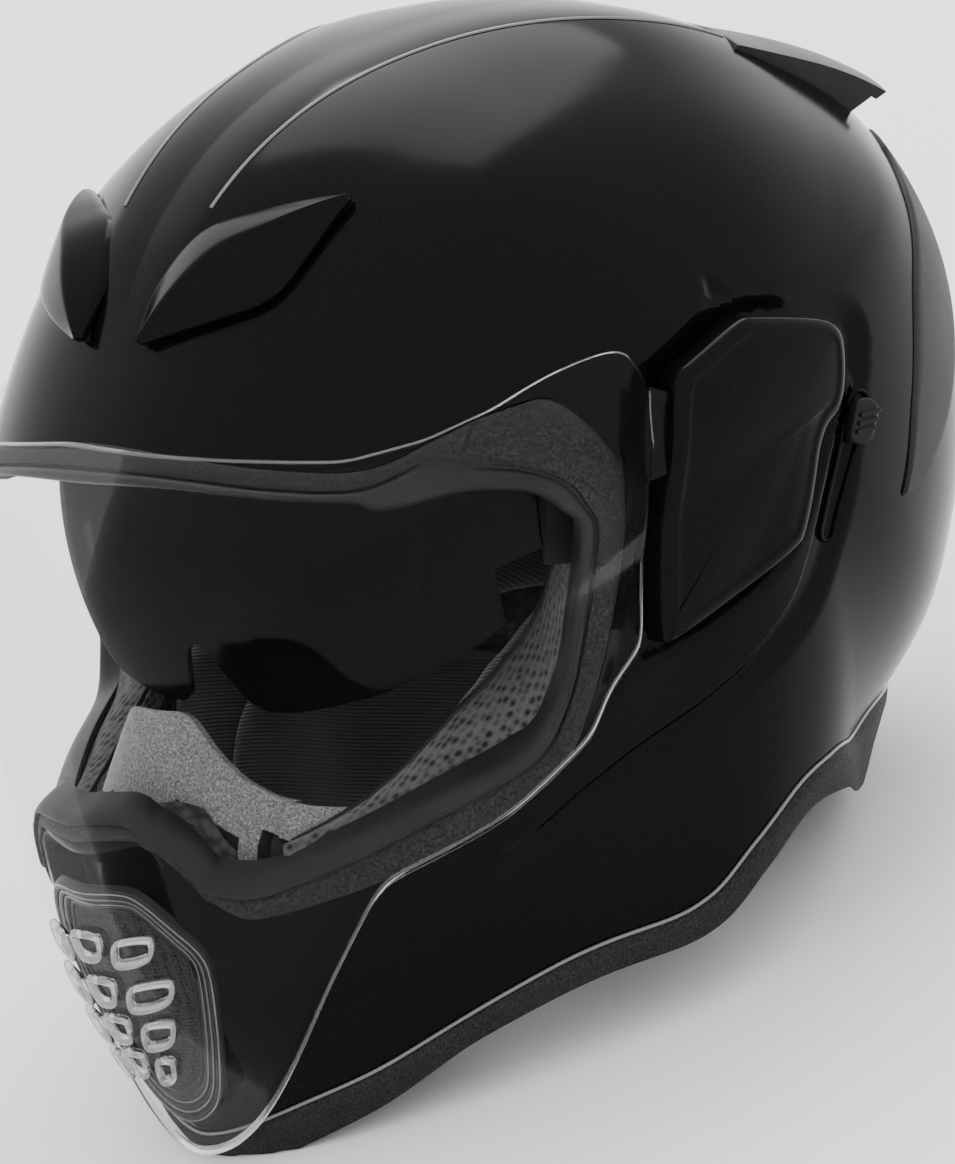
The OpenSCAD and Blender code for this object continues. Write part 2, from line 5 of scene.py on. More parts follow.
import bpy
import numpy as np
from mathutils import Matrix, Vector


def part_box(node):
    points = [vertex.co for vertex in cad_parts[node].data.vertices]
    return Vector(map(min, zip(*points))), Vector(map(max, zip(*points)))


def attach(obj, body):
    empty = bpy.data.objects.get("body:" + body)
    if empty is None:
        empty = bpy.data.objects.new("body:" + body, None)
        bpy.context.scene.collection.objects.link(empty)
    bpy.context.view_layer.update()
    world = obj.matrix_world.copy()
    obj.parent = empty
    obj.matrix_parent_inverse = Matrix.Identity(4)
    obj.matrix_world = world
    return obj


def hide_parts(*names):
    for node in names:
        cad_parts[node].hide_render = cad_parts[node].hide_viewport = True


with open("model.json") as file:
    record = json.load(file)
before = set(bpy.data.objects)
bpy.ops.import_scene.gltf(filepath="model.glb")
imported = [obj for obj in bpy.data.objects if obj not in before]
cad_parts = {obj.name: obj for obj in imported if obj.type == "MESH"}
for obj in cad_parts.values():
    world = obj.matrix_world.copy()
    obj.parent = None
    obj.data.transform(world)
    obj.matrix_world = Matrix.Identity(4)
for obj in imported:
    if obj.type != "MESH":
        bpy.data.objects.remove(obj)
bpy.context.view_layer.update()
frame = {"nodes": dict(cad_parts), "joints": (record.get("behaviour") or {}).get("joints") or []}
NODES = frame["nodes"]

# ---------------------------------------------------------------- design frame
# As in part.scad, millimetres: +X to the wearer's left, -Y front, +Z up, tipped nose-up to stand.
TILT = math.radians(23.5)
COS, SIN = math.cos(TILT), math.sin(TILT)
SHIELD_PIVOT = (-4.0, -8.0)
SUN_PIVOT = (-14.0, -24.0)
joint = {j["name"]: j for j in frame["joints"]}
pivot_m = joint["shield_hinge"]["pos_m"]
REST_Y = pivot_m[1] * 1000 - (SHIELD_PIVOT[0] * COS + SHIELD_PIVOT[1] * SIN)
REST_Z = pivot_m[2] * 1000 - (SHIELD_PIVOT[1] * COS - SHIELD_PIVOT[0] * SIN)
SHELL_W = 120.0
WALL = 4.0
PROFILE = np.array([272, 234, 187, 148, 126, 110, 109, 116, 138, 147, 157, 168], float)
PORT = [
    [-5, 0], [-6.5, 16], [-8, 27], [-8, 34], [-4.5, 41], [0.5, 50], [0, 54.5], [-10, 60],
    [-20, 61.3], [-38, 57.5], [-51, 49], [-57, 41], [-57, 36], [-53.5, 29], [-51, 22],
    [-47.5, 13.5], [-44.5, 10.6], [-41.5, 9.4], [-38.3, 7], [-37.3, 3], [-37.3, 0],
]
PORT_SEAL = [
    [-8, 0], [-8.7, 16], [-10.4, 26.5], [-12, 36.5], [-12.6, 45.5], [-16, 51.3], [-21, 53.7],
    [-26, 55.1], [-33, 53.5], [-42, 49.4], [-50.4, 43], [-52.2, 36.6], [-48, 25.5],
    [-46, 17.2], [-45, 13.3], [-43, 10.3], [-40, 8.2], [-36.5, 6], [-35.7, 3], [-35.7, 0],
]
RIM = [
    [214, 0], [219, 20], [228, 31], [240, 38], [251, 44], [261, 44.8], [270, 41],
    [275.4, 36.5], [281.6, 32.7], [290.3, 24.4], [295, 15.4], [297.5, 8], [298, 0],
]
SHIELD_LOW = [
    [0, -62.4], [4, -62], [7.3, -60.7], [11.3, -58.2], [15.8, -54.9], [22.6, -50.6], [25.8, -51.7],
    [33.6, -55], [43.5, -57], [48, -54.5], [54, -54], [60, -40], [63.5, -27], [65.5, -10],
]
SHIELD_HIGH = [
    [0, -4], [16, -5], [32, -6], [40, -4], [47, 0], [55, 8], [61, 13.5], [63.5, 12], [65.5, 3],
]
# Outlines on the side, as [y, z]
PLATE = [
    (-48, 7), (-39, 13), (-24, 22.5), (-19, 23), (6, 22), (13, 20), (16, 15), (15, -3), (6, -9),
    (3, -27), (0, -38), (-2, -41), (-42, -67), (-44, -65), (-46.5, -50), (-48.5, -20),
]
RECESS = [
    (-55, 6), (-47, 9), (-21, 28.5), (20, 26), (31, 22.5), (34, 17), (33, 7.5), (31, -2), (28, -32),
    (23, -46), (18, -56), (10, -65), (0, -73), (-22, -89), (-47, -107), (-72, -128), (-90, -140),
    (-86, -118), (-60, -96), (-52, -70),
]
FIN = [
    (31, 6), (25, -4), (21, -17), (17.5, -31), (13, -44), (8.5, -55), (1, -64.5), (-15, -80),
    (-51, -104), (-74, -126), (-82, -120), (-62, -98), (-52, -82), (-46, -73), (-33, -69),
    (-8.5, -53), (4.5, -43), (12.5, -28), (18, -10),
]
NOTCH = [(-27, 27), (-26, 33), (-19.5, 29)]


def ease(u):
    v = np.clip(u, 0, 1)
    return v * v * (3 - 2 * v)


def mix(a, b, u):
    return a + (b - a) * u


def turn_of(a):
    return a - 360 * np.floor((a + 90) / 360)


def catmull(p0, p1, p2, p3, u):
    return 0.5 * (
        2 * p1 + (p2 - p0) * u + (2 * p0 - 5 * p1 + 4 * p2 - p3) * u * u
        + (3 * p1 - p0 - 3 * p2 + p3) * u ** 3
    )


def stand(p):
    """Design millimetres to the row frame's metres."""
    p = np.asarray(p, float)
    x, y, z = p[..., 0], p[..., 1], p[..., 2]
    return np.stack([x, y * COS + z * SIN + REST_Y, z * COS - y * SIN + REST_Z], -1) / 1000


def profile_r(a):
    u = (turn_of(a) + 90) / 30
    i = np.floor(u).astype(int)
    return catmull(*(PROFILE[(i + k) % 12] for k in (11, 0, 1, 2)), u - i)


def fullness(a):
    b = turn_of(a)
    b = np.where(b > 180, b - 360, b)
    chin = ease((-5 - b) / 35) * ease((b + 95) / 30)
    return mix(2.2, 1.7, chin)


def skin(d, off=0.0):
    a = np.degrees(np.arctan2(d[..., 2], -d[..., 1]))
    n = fullness(a)
    h = np.hypot(d[..., 1], d[..., 2])
    r = (np.abs(d[..., 0]) / (SHELL_W + off)) ** n + (h / (profile_r(a) + off)) ** n
    return d / (r ** (1 / n))[..., None]


def flank(y, z, off=0.0):
    a = np.degrees(np.arctan2(z, -y))
    n = fullness(a)
    u = np.hypot(y, z) / (profile_r(a) + off)
    return (SHELL_W + off) * np.maximum(1 - u ** n, 0.001) ** (1 / n)


def aim(a, t):
    a, t = np.radians(a), np.radians(t)
    return np.stack([np.sin(t), -np.cos(t) * np.cos(a), np.cos(t) * np.sin(a)], -1)


def aim_x(a, x):
    a, x = np.broadcast_arrays(np.asarray(a, float), np.asarray(x, float))
    n = fullness(a)
    h = profile_r(a) * (1 - (np.abs(x) / SHELL_W) ** n) ** (1 / n)
    return np.stack([x, -h * np.cos(np.radians(a)), h * np.sin(np.radians(a))], -1)


# ---------------------------------------------------------------- oval grid
CROWN = math.radians(76)
SLOT_Y, SLOT_HALF = 2.2, 1.6


def to_map(d):
    u = d / np.linalg.norm(d, axis=-1, keepdims=True)
    a = -u[..., 1] * math.cos(CROWN) + u[..., 2] * math.sin(CROWN)
    f = -u[..., 1] * math.sin(CROWN) - u[..., 2] * math.cos(CROWN)
    return np.stack([u[..., 0], f], -1) * 2 / (1 + a)[..., None]


def from_map(s):
    q = (s * s).sum(-1)
    a, f, x = (4 - q) / (4 + q), s[..., 1] * 4 / (4 + q), s[..., 0] * 4 / (4 + q)
    return np.stack([x, -a * math.cos(CROWN) - f * math.sin(CROWN),
                     a * math.sin(CROWN) - f * math.cos(CROWN)], -1)


def to_oval(s):
    p = (s - np.array([0, SLOT_Y])) / SLOT_HALF
    m = (np.hypot(p[..., 0] + 1, p[..., 1]) + np.hypot(p[..., 0] - 1, p[..., 1])) / 2
    r = np.arccosh(np.maximum(m, 1.0001))
    return np.degrees(np.arctan2(p[..., 1] / np.sinh(r), p[..., 0] / np.cosh(r))), r


def from_oval(th, r):
    th = np.radians(th)
    return from_map(np.stack([SLOT_HALF * np.cosh(r) * np.cos(th),
                              SLOT_Y + SLOT_HALF * np.sinh(r) * np.sin(th)], -1))


def edge_table(keys, steps=12):
    p = to_map(aim(*np.array(keys, float).T))
    flip = np.array([-1, 1])
    q = np.vstack([p[1] * flip, p, p[-2] * flip])
    u = np.arange(steps) / steps
    pts = [catmull(q[i], q[i + 1], q[i + 2], q[i + 3], u[:, None]) for i in range(len(p) - 1)]
    th, r = to_oval(np.vstack([*pts, p[-1:]]))
    order = np.argsort(th)
    return th[order], r[order]


PORT_T, SEAL_T, RIM_T = (edge_table(k) for k in (PORT, PORT_SEAL, RIM))


def edge_r(table, th):
    a = th - 360 * np.floor((th + 180) / 360)
    a = np.where(np.abs(a) <= 90, a, np.sign(a) * 180 - a)
    return np.interp(a, *table)


# ---------------------------------------------------------------- relief of the shell
def depth_in(poly, p):
    """Signed distance from a closed outline, positive inside, for points (..., 2)."""
    a = np.asarray(poly, float)
    b = np.roll(a, -1, 0)
    q = p.reshape(-1, 1, 2)
    ab, aq = (b - a)[None], q - a[None]
    u = np.clip((aq * ab).sum(-1) / (ab * ab).sum(-1), 0, 1)
    d = np.linalg.norm(aq - ab * u[..., None], axis=-1).min(1)
    over = (a[:, 1] > q[..., 1]) != (b[:, 1] > q[..., 1])
    rise = np.where(np.abs(b[:, 1] - a[:, 1]) < 1e-9, 1e-9, b[:, 1] - a[:, 1])
    cross = a[:, 0] + (q[..., 1] - a[:, 1]) * (b[:, 0] - a[:, 0]) / rise
    odd = (over & (q[..., 0] < cross)).sum(1) % 2
    return np.where(odd == 1, d, -d).reshape(p.shape[:-1])


def rounded(poly, times=3):
    """An outline with its corners cut again and again until they are round."""
    p = np.asarray(poly, float)
    for _ in range(times):
        n = np.roll(p, -1, 0)
        p = np.stack([mix(p, n, 0.25), mix(p, n, 0.75)], 1).reshape(-1, p.shape[1])
    return p


RECESS_R, FIN_R = rounded(RECESS, 2), rounded(FIN, 1)


def soft(t, w):
    return w * np.logaddexp(0, t / w)


RIDGE_A = [0, 14, 21, 31, 47, 64, 77, 93, 119, 140, 175]
RIDGE_X = [15, 16.5, 17, 20, 25, 33, 44, 54, 50, 46, 40]
SHOULDER_X = [36, 38, 42, 55, 62, 67, 72, 77, 77, 73, 66]


def rounded_table(keys, values, width=7.0):
    """The straight-line table with its corners smoothed away."""
    t = np.linspace(0, 180, 361)
    v = np.pad(np.interp(t, keys, values), 40, mode="edge")
    k = np.exp(-0.5 * (np.arange(-40, 41) * 0.5 / width) ** 2)
    return t, np.convolve(v, k / k.sum(), "valid")


RIDGE_T, SHOULDER_T = rounded_table(RIDGE_A, RIDGE_X), rounded_table(RIDGE_A, SHOULDER_X)


def chin_recess(a, x):
    return 11 * ease((26 - np.abs(x)) / 8) * ease((11 - np.abs(a + 49)) / 4)


def relief(d):
    """Height of the painted shell's features above the plain skin."""
    p = skin(d)
    x, y, z = np.abs(p[..., 0]), p[..., 1], p[..., 2]
    a = turn_of(np.degrees(np.arctan2(z, -y)))
    xr, xs = np.interp(a, *RIDGE_T), np.interp(a, *SHOULDER_T)
    high = 4.2 * ease((a - 4) / 16) * ease((178 - a) / 40)
    h = high / (xs - xr) * (soft(xs - x, 5.0) - soft(xr - x, 0.9))
    h = h - 1.2 * high / 4.2 * ease((xr - x) / 30)
    yz = np.stack([y, z], -1)
    side = x > 60
    near = depth_in(RECESS_R, yz[side])
    fin = depth_in(FIN_R, yz[side])
    fade = ease((y[side] + 92) / 45)
    cut = np.zeros(x.shape)
    cut[side] = fade * (-3.4 * ease(0.5 + near / 8.0) + 3.1 * ease(0.5 + fin / 5.0))
    cut[side] -= 1.4 * ease(0.5 + depth_in(NOTCH, yz[side]) / 4.0)
    return h + cut - chin_recess(a, p[..., 0])


# ---------------------------------------------------------------- mesh helpers
def new_object(name, verts, faces, mats, body, sharp=35, smooth=True):
    me = bpy.data.meshes.new(name)
    me.from_pydata(np.asarray(verts, float).tolist(), [], faces)
    me.validate()
    o = bpy.data.objects.new(name, me)
    bpy.context.scene.collection.objects.link(o)
    for m in mats if isinstance(mats, (list, tuple)) else [mats]:
        me.materials.append(m)
    if smooth:
        me.polygons.foreach_set("use_smooth", np.ones(len(me.polygons), bool))
        me.set_sharp_from_angle(angle=math.radians(sharp))
    turn_outward(me)
    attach(o, body)
    return o


def turn_outward(me):
    """Flips the faces of a closed mesh whose volume comes out negative."""
    me.calc_loop_triangles()
    co = np.zeros(len(me.vertices) * 3)
    me.vertices.foreach_get("co", co)
    tri = np.zeros(len(me.loop_triangles) * 3, int)
    me.loop_triangles.foreach_get("vertices", tri)
    t = co.reshape(-1, 3)[tri.reshape(-1, 3)]
    if np.einsum("ij,ij->i", t[:, 0], np.cross(t[:, 1], t[:, 2])).sum() < 0:
        me.flip_normals()


def grid_faces(ni, nj, ring_i, ring_j, start=0, flip=False):
    i = np.arange(ni if ring_i else ni - 1)
    j = np.arange(nj if ring_j else nj - 1)
    i, j = np.meshgrid(i, j, indexing="ij")
    i2, j2 = (i + 1) % ni, (j + 1) % nj
    f = np.stack([i * nj + j, i2 * nj + j, i2 * nj + j2, i * nj + j2], -1).reshape(-1, 4) + start
    return (f[:, ::-1] if flip else f).tolist()


def slab(name, top, bottom, mats, body, ring=False, sharp=35):
    """A closed piece between two equal grids of points (columns, rows, 3)."""
    ni, nj = top.shape[:2]
    n = ni * nj
    faces = grid_faces(ni, nj, ring, False) + grid_faces(ni, nj, ring, False, n, True)
    k = np.arange(ni if ring else ni - 1)
    k2 = (k + 1) % ni
    for j in (0, nj - 1):
        q = np.stack([k * nj + j, k2 * nj + j, k2 * nj + j + n, k * nj + j + n], -1)
        faces += (q if j else q[:, ::-1]).tolist()
    if not ring:
        j = np.arange(nj - 1)
        for i in (0, ni - 1):
            q = np.stack([i * nj + j, i * nj + j + 1, i * nj + j + 1 + n, i * nj + j + n], -1)
            faces += (q if not i else q[:, ::-1]).tolist()
    verts = np.concatenate([top.reshape(-1, 3), bottom.reshape(-1, 3)])
    return new_object(name, verts, faces, mats, body, sharp)


def hoop(name, points, mats, body, sharp=35):
    """A piece closed both ways round: points (columns, loop, 3)."""
    ni, nj = points.shape[:2]
    return new_object(name, points.reshape(-1, 3), grid_faces(ni, nj, True, True), mats, body, sharp)


def inset(loop, d):
    """The outline moved inwards by d, corner by corner."""
    t = np.roll(loop, -1, 0) - np.roll(loop, 1, 0)
    n = np.stack([-t[:, 1], t[:, 0]], -1) / (np.linalg.norm(t, axis=1, keepdims=True) + 1e-9)
    nxt = np.roll(loop, -1, 0)
    area = (loop[:, 0] * nxt[:, 1] - nxt[:, 0] * loop[:, 1]).sum()
    return loop + n * d * (1 if area > 0 else -1)


def resample(loop, n):
    """n points at even spacing round a closed outline."""
    p = np.vstack([loop, loop[:1]])
    s = np.r_[0, np.cumsum(np.linalg.norm(np.diff(p, axis=0), axis=1))]
    q = np.arange(n) / n * s[-1]
    return np.stack([np.interp(q, s, p[:, k]) for k in range(p.shape[1])], -1)


def plate(name, loop, lift, profile, mats, body, rings=14, crown=0.0, sharp=35):
    """A cap over an outline: profile is (inset, height) from the lower edge up, then rings to the middle."""
    loops = [lift(inset(loop, a), h) for a, h in profile]
    inner, top = inset(loop, profile[-1][0]), profile[-1][1]
    mid = inner.mean(0)
    for k in range(1, rings):
        u = k / rings
        loops.append(lift(mix(inner, mid, u), top + crown * (1 - (1 - u) ** 2)))
    n = len(loop)
    faces = []
    k = np.arange(n)
    for r in range(len(loops) - 1):
        a, b = r * n, (r + 1) * n
        faces += np.stack([a + k, a + (k + 1) % n, b + (k + 1) % n, b + k], -1).tolist()
    verts = np.concatenate([*loops, lift(mid[None], top + crown), lift(mid[None], profile[0][1])])
    last, peak, foot = (len(loops) - 1) * n, len(verts) - 2, len(verts) - 1
    faces += [[last + i, last + (i + 1) % n, peak] for i in range(n)]
    faces += [[(i + 1) % n, i, foot] for i in range(n)]
    return new_object(name, verts, faces, mats, body, sharp)


def tube(name, path, radius, mats, body, ring=True, sides=10):
    """A round bead along a path of row-frame points."""
    path = np.asarray(path, float)
    t = np.roll(path, -1, 0) - np.roll(path, 1, 0) if ring else np.gradient(path, axis=0)
    t /= np.linalg.norm(t, axis=1, keepdims=True) + 1e-12
    ref = np.cross(t, np.roll(t, 5, 0)).sum(0) if ring else np.cross(t[0], [0.3, 0.2, 1.0])
    ref /= np.linalg.norm(ref) + 1e-12
    u = np.cross(t, ref)
    u /= np.linalg.norm(u, axis=1, keepdims=True) + 1e-12
    v = np.cross(t, u)
    a = np.arange(sides) / sides * 2 * np.pi
    pts = path[:, None] + radius * (np.cos(a)[None, :, None] * u[:, None] + np.sin(a)[None, :, None] * v[:, None])
    faces = grid_faces(len(path), sides, ring, True)
    if not ring:
        faces += [list(range(sides)), [(len(path) - 1) * sides + k for k in range(sides)][::-1]]
    return new_object(name, pts.reshape(-1, 3), faces, mats, body, 60)


def sides_of(piece):
    """Runs a builder for the left and the right."""
    return [piece("left", 1), piece("right", -1)]


# ---------------------------------------------------------------- materials
def material(name, **values):
    m = bpy.data.materials.new(name)
    m.use_nodes = True
    b = m.node_tree.nodes["Principled BSDF"]
    for k, v in values.items():
        b.inputs[k.replace("_", " ")].default_value = v
    return m, m.node_tree, b


def put(tree, kind, where=None, **settings):
    n = tree.nodes.new(kind)
    for k, v in settings.items():
        if k in n.inputs:
            n.inputs[k].default_value = v
        elif k.replace("_", " ") in n.inputs:
            n.inputs[k.replace("_", " ")].default_value = v
        else:
            setattr(n, k, v)
    if where is not None:
        tree.links.new(where, n.inputs["Vector"])
    return n


def place(tree, scale=(1, 1, 1), turn=(0, 0, 0)):
    c = tree.nodes.new("ShaderNodeTexCoord")
    m = put(tree, "ShaderNodeMapping", Scale=scale, Rotation=turn)
    tree.links.new(c.outputs["Object"], m.inputs["Vector"])
    return m.outputs["Vector"]


def ramp(tree, fac, stops):
    r = tree.nodes.new("ShaderNodeValToRGB")
    e = r.color_ramp.elements
    while len(e) < len(stops):
        e.new(0.5)
    for s, (at, col) in zip(e, stops):
        s.position = at
        s.color = (*col, 1) if hasattr(col, "__len__") else (col, col, col, 1)
    tree.links.new(fac, r.inputs["Fac"])
    return r.outputs["Color"]


def maths(tree, op, a, b=None, **kw):
    n = tree.nodes.new("ShaderNodeMath")
    n.operation = op
    for k, v in ((0, a), (1, b)):
        if v is None:
            continue
        if isinstance(v, (int, float)):
            n.inputs[k].default_value = v
        else:
            tree.links.new(v, n.inputs[k])
    return n.outputs[0]


def bump(tree, bsdf, height, strength, distance):
    n = tree.nodes.new("ShaderNodeBump")
    n.inputs["Strength"].default_value = strength
    n.inputs["Distance"].default_value = distance
    old = bsdf.inputs["Normal"].links
    if old:
        tree.links.new(old[0].from_socket, n.inputs["Normal"])
    tree.links.new(height, n.inputs["Height"])
    tree.links.new(n.outputs["Normal"], bsdf.inputs["Normal"])


def varied(name, dark, light, rough, scale, grain, grain_scale, grain_m, **values):
    """A moulded surface: soft colour drift, roughness drift and a fine grain."""
    m, t, b = material(name, **values)
    at = place(t)
    drift = put(t, "ShaderNodeTexNoise", at, Scale=scale, Detail=4.0, Roughness=0.6)
    fine = put(t, "ShaderNodeTexNoise", at, Scale=grain_scale, Detail=3.0, Roughness=0.65)
    both = maths(t, "ADD", maths(t, "MULTIPLY", drift.outputs["Fac"], 0.55),
                 maths(t, "MULTIPLY", fine.outputs["Fac"], 0.45))
    t.links.new(ramp(t, both, [(0.38, dark), (0.62, light)]), b.inputs["Base Color"])
    t.links.new(ramp(t, both, [(0.3, rough[0]), (0.7, rough[1])]), b.inputs["Roughness"])
    bump(t, b, fine.outputs["Fac"], grain, grain_m)
    return m


def gloss_black(name, shine):
    m, t, b = material(name, Specular_IOR_Level=shine)
    at = place(t)
    haze = put(t, "ShaderNodeTexNoise", at, Scale=22.0, Detail=6.0, Roughness=0.6)
    peel = put(t, "ShaderNodeTexNoise", at, Scale=420.0, Detail=1.0, Roughness=0.4)
    fleck = put(t, "ShaderNodeTexNoise", at, Scale=2600.0, Detail=1.0, Roughness=0.5)
    t.links.new(ramp(t, haze.outputs["Fac"], [(0.35, 0.13), (0.65, 0.17)]), b.inputs["Roughness"])
    t.links.new(ramp(t, fleck.outputs["Fac"], [(0.45, (0.0016, 0.0016, 0.002)), (0.75, (0.0046, 0.0046, 0.0052))]),
                b.inputs["Base Color"])
    bump(t, b, peel.outputs["Fac"], 0.03, 0.00005)
    return m


def pebbled(name, dark, light, rough=(0.5, 0.7), cell=1500.0, depth_m=0.00025, spec=0.45):
    """Rubber or spark-eroded plastic: rounded pebbles with pale specks on their tops."""
    m, t, b = material(name, Specular_IOR_Level=spec)
    at = place(t)
    cells = put(t, "ShaderNodeTexVoronoi", at, Scale=cell)
    drift = put(t, "ShaderNodeTexNoise", at, Scale=55.0, Detail=5.0, Roughness=0.6)
    fine = put(t, "ShaderNodeTexNoise", at, Scale=cell * 0.7, Detail=3.0, Roughness=0.7)
    tops = maths(t, "SUBTRACT", maths(t, "MULTIPLY", fine.outputs["Fac"], 1.5),
                 maths(t, "MULTIPLY", cells.outputs["Distance"], 0.6))
    both = maths(t, "ADD", tops, maths(t, "MULTIPLY", drift.outputs["Fac"], 0.25))
    t.links.new(ramp(t, both, [(0.3, dark), (0.62, mix(dark, light, 0.35)), (0.92, light)]), b.inputs["Base Color"])
    t.links.new(ramp(t, both, [(0.3, rough[1]), (0.9, rough[0])]), b.inputs["Roughness"])
    bump(t, b, both, 0.55, depth_m)
    return m


def spacer_mesh(name, hole, thread, pitch=0.0024, nap=0.3):
    """Open knit with a honeycomb of holes."""
    m, t, b = material(name, Roughness=0.9, Sheen_Weight=nap, Sheen_Roughness=0.5, Specular_IOR_Level=0.15)
    at = place(t, (1, 0.8, 1))
    cells = put(t, "ShaderNodeTexVoronoi", at, Scale=1 / pitch, Randomness=0.35)
    strands = put(t, "ShaderNodeTexNoise", at, Scale=4.2 / pitch, Detail=2.0, Roughness=0.6)
    drift = put(t, "ShaderNodeTexNoise", at, Scale=38.0, Detail=4.0, Roughness=0.6)
    wall = maths(t, "ADD", cells.outputs["Distance"], maths(t, "MULTIPLY", strands.outputs["Fac"], 0.35))
    tint = maths(t, "ADD", wall, maths(t, "MULTIPLY", drift.outputs["Fac"], 0.2))
    t.links.new(ramp(t, tint, [(0.48, hole), (0.66, mix(hole, thread, 0.55)), (0.9, thread)]), b.inputs["Base Color"])
    bump(t, b, wall, 0.9, 0.0009)
    return m


def ribbed_knit(name, dark, light, pitch=0.0011, turn=(0, 0, 0)):
    """Brushed knit with fine even ribs and soft drift."""
    m, t, b = material(name, Roughness=0.92, Sheen_Weight=0.5, Sheen_Roughness=0.45, Specular_IOR_Level=0.2)
    at = place(t, turn=turn)
    rib = put(t, "ShaderNodeTexWave", at, Scale=2 * math.pi / 20 / pitch, Distortion=0.8,
              Detail=2.0, Detail_Scale=6.0, bands_direction="Z")
    fuzz = put(t, "ShaderNodeTexNoise", at, Scale=3.0 / pitch, Detail=3.0, Roughness=0.7)
    drift = put(t, "ShaderNodeTexNoise", at, Scale=26.0, Detail=5.0, Roughness=0.6)
    h = maths(t, "ADD", maths(t, "MULTIPLY", rib.outputs["Fac"], 0.7), maths(t, "MULTIPLY", fuzz.outputs["Fac"], 0.3))
    tint = maths(t, "ADD", maths(t, "MULTIPLY", h, 0.6), maths(t, "MULTIPLY", drift.outputs["Fac"], 0.4))
    t.links.new(ramp(t, tint, [(0.25, dark), (0.8, light)]), b.inputs["Base Color"])
    bump(t, b, h, 0.7, 0.0006)
    return m


def webbing():
    m, t, b = material("webbing", Roughness=0.7, Sheen_Weight=0.3, Specular_IOR_Level=0.3)
    at = place(t)
    weft = put(t, "ShaderNodeTexWave", at, Scale=260.0, Distortion=1.0, Detail=1.0, bands_direction="Z")
    warp = put(t, "ShaderNodeTexWave", at, Scale=200.0, Distortion=1.0, Detail=1.0, bands_direction="Y")
    h = maths(t, "MULTIPLY", weft.outputs["Fac"], warp.outputs["Fac"])
    t.links.new(ramp(t, h, [(0.1, 0.006), (0.8, 0.045)]), b.inputs["Base Color"])
    bump(t, b, h, 0.8, 0.0004)
    return m


def steel():
    m, t, b = material("satin_steel", Metallic=1.0)
    at = place(t, (1, 1, 12))
    grain = put(t, "ShaderNodeTexNoise", at, Scale=600.0, Detail=4.0, Roughness=0.7)
    t.links.new(ramp(t, grain.outputs["Fac"], [(0.3, 0.42), (0.7, 0.6)]), b.inputs["Base Color"])
    t.links.new(ramp(t, grain.outputs["Fac"], [(0.3, 0.22), (0.7, 0.38)]), b.inputs["Roughness"])
    bump(t, b, grain.outputs["Fac"], 0.12, 0.0001)
    return m


def bead_foam():
    m, t, b = material("bead_foam", Specular_IOR_Level=0.3)
    at = place(t)
    beads = put(t, "ShaderNodeTexVoronoi", at, Scale=330.0)
    t.links.new(ramp(t, beads.outputs["Distance"], [(0.2, 0.03), (0.75, 0.008)]), b.inputs["Base Color"])
    t.links.new(ramp(t, beads.outputs["Distance"], [(0.2, 0.6), (0.7, 0.9)]), b.inputs["Roughness"])
    height = maths(t, "SUBTRACT", 1.0, beads.outputs["Distance"])
    bump(t, b, height, 0.6, 0.0008)
    return m


def see_through(name, tint, gloss_rough, haze=0.0, drift=0.02, shine=0.3):
    """Clear sheet: it passes light straight through, and mirrors by its Fresnel share."""
    m = bpy.data.materials.new(name)
    m.use_nodes = True
    t = m.node_tree
    t.nodes.clear()
    out = t.nodes.new("ShaderNodeOutputMaterial")
    at = place(t)
    noise = put(t, "ShaderNodeTexNoise", at, Scale=14.0, Detail=3.0, Roughness=0.5)
    clear = t.nodes.new("ShaderNodeBsdfTransparent")
    low, high = tuple(c * (1 - drift) for c in tint), tint
    t.links.new(ramp(t, noise.outputs["Fac"], [(0.3, low), (0.7, high)]), clear.inputs["Color"])
    gloss = t.nodes.new("ShaderNodeBsdfGlossy")
    t.links.new(ramp(t, noise.outputs["Fac"], [(0.3, gloss_rough), (0.7, gloss_rough + 0.02)]),
                gloss.inputs["Roughness"])
    fres = t.nodes.new("ShaderNodeFresnel")
    fres.inputs["IOR"].default_value = 1.46
    both = t.nodes.new("ShaderNodeMixShader")
    share = maths(t, "ADD", maths(t, "MULTIPLY", fres.outputs[0], shine), haze)
    t.links.new(share, both.inputs[0])
    t.links.new(clear.outputs[0], both.inputs[1])
    t.links.new(gloss.outputs[0], both.inputs[2])
    t.links.new(both.outputs[0], out.inputs["Surface"])
    return m


GLOSS = gloss_black("gloss_black", 0.055)
# Lighter grey gloss for the fine beads: painted highlight, the bright lines along ridges and edges given as colour
PAINTED_HIGHLIGHT = varied("painted_highlight_gloss", 0.07, 0.1, (0.1, 0.16), 30.0, 0.05, 900.0, 0.0001, Specular_IOR_Level=0.9)
SATIN = varied("satin_black", 0.006, 0.014, (0.28, 0.4), 40.0, 0.25, 1800.0, 0.0001, Specular_IOR_Level=0.13)
DULL = varied("dull_black", 0.004, 0.012, (0.5, 0.65), 60.0, 0.4, 1500.0, 0.00015, Specular_IOR_Level=0.22)
SEAL = pebbled("seal_rubber", 0.005, 0.03, spec=0.14)
TRIM = pebbled("trim_rubber", 0.005, 0.022, cell=1900.0, spec=0.14)
LIP = varied("smooth_rubber", 0.006, 0.014, (0.34, 0.46), 50.0, 0.2, 1600.0, 0.0001, Specular_IOR_Level=0.16)
NOSE = pebbled("moulded_grey", 0.05, 0.22, (0.45, 0.6), 1900.0, 0.00018)
KNIT = spacer_mesh("spacer_mesh", 0.003, 0.07, nap=0.15)
RIBS = ribbed_knit("ribbed_knit", 0.012, 0.08, turn=(0.5, 0.25, 0))
BRUSHED = ribbed_knit("crown_knit", 0.01, 0.06, 0.0013, (0.9, 0, 0.3))
FOAM = bead_foam()
SCREEN = spacer_mesh("vent_screen", 0.001, 0.03, 0.0012, 0.02)
WEB = webbing()
STEEL = steel()
CLEAR = see_through("clear_sheet", (0.985, 0.99, 0.995), 0.03, shine=0.04)
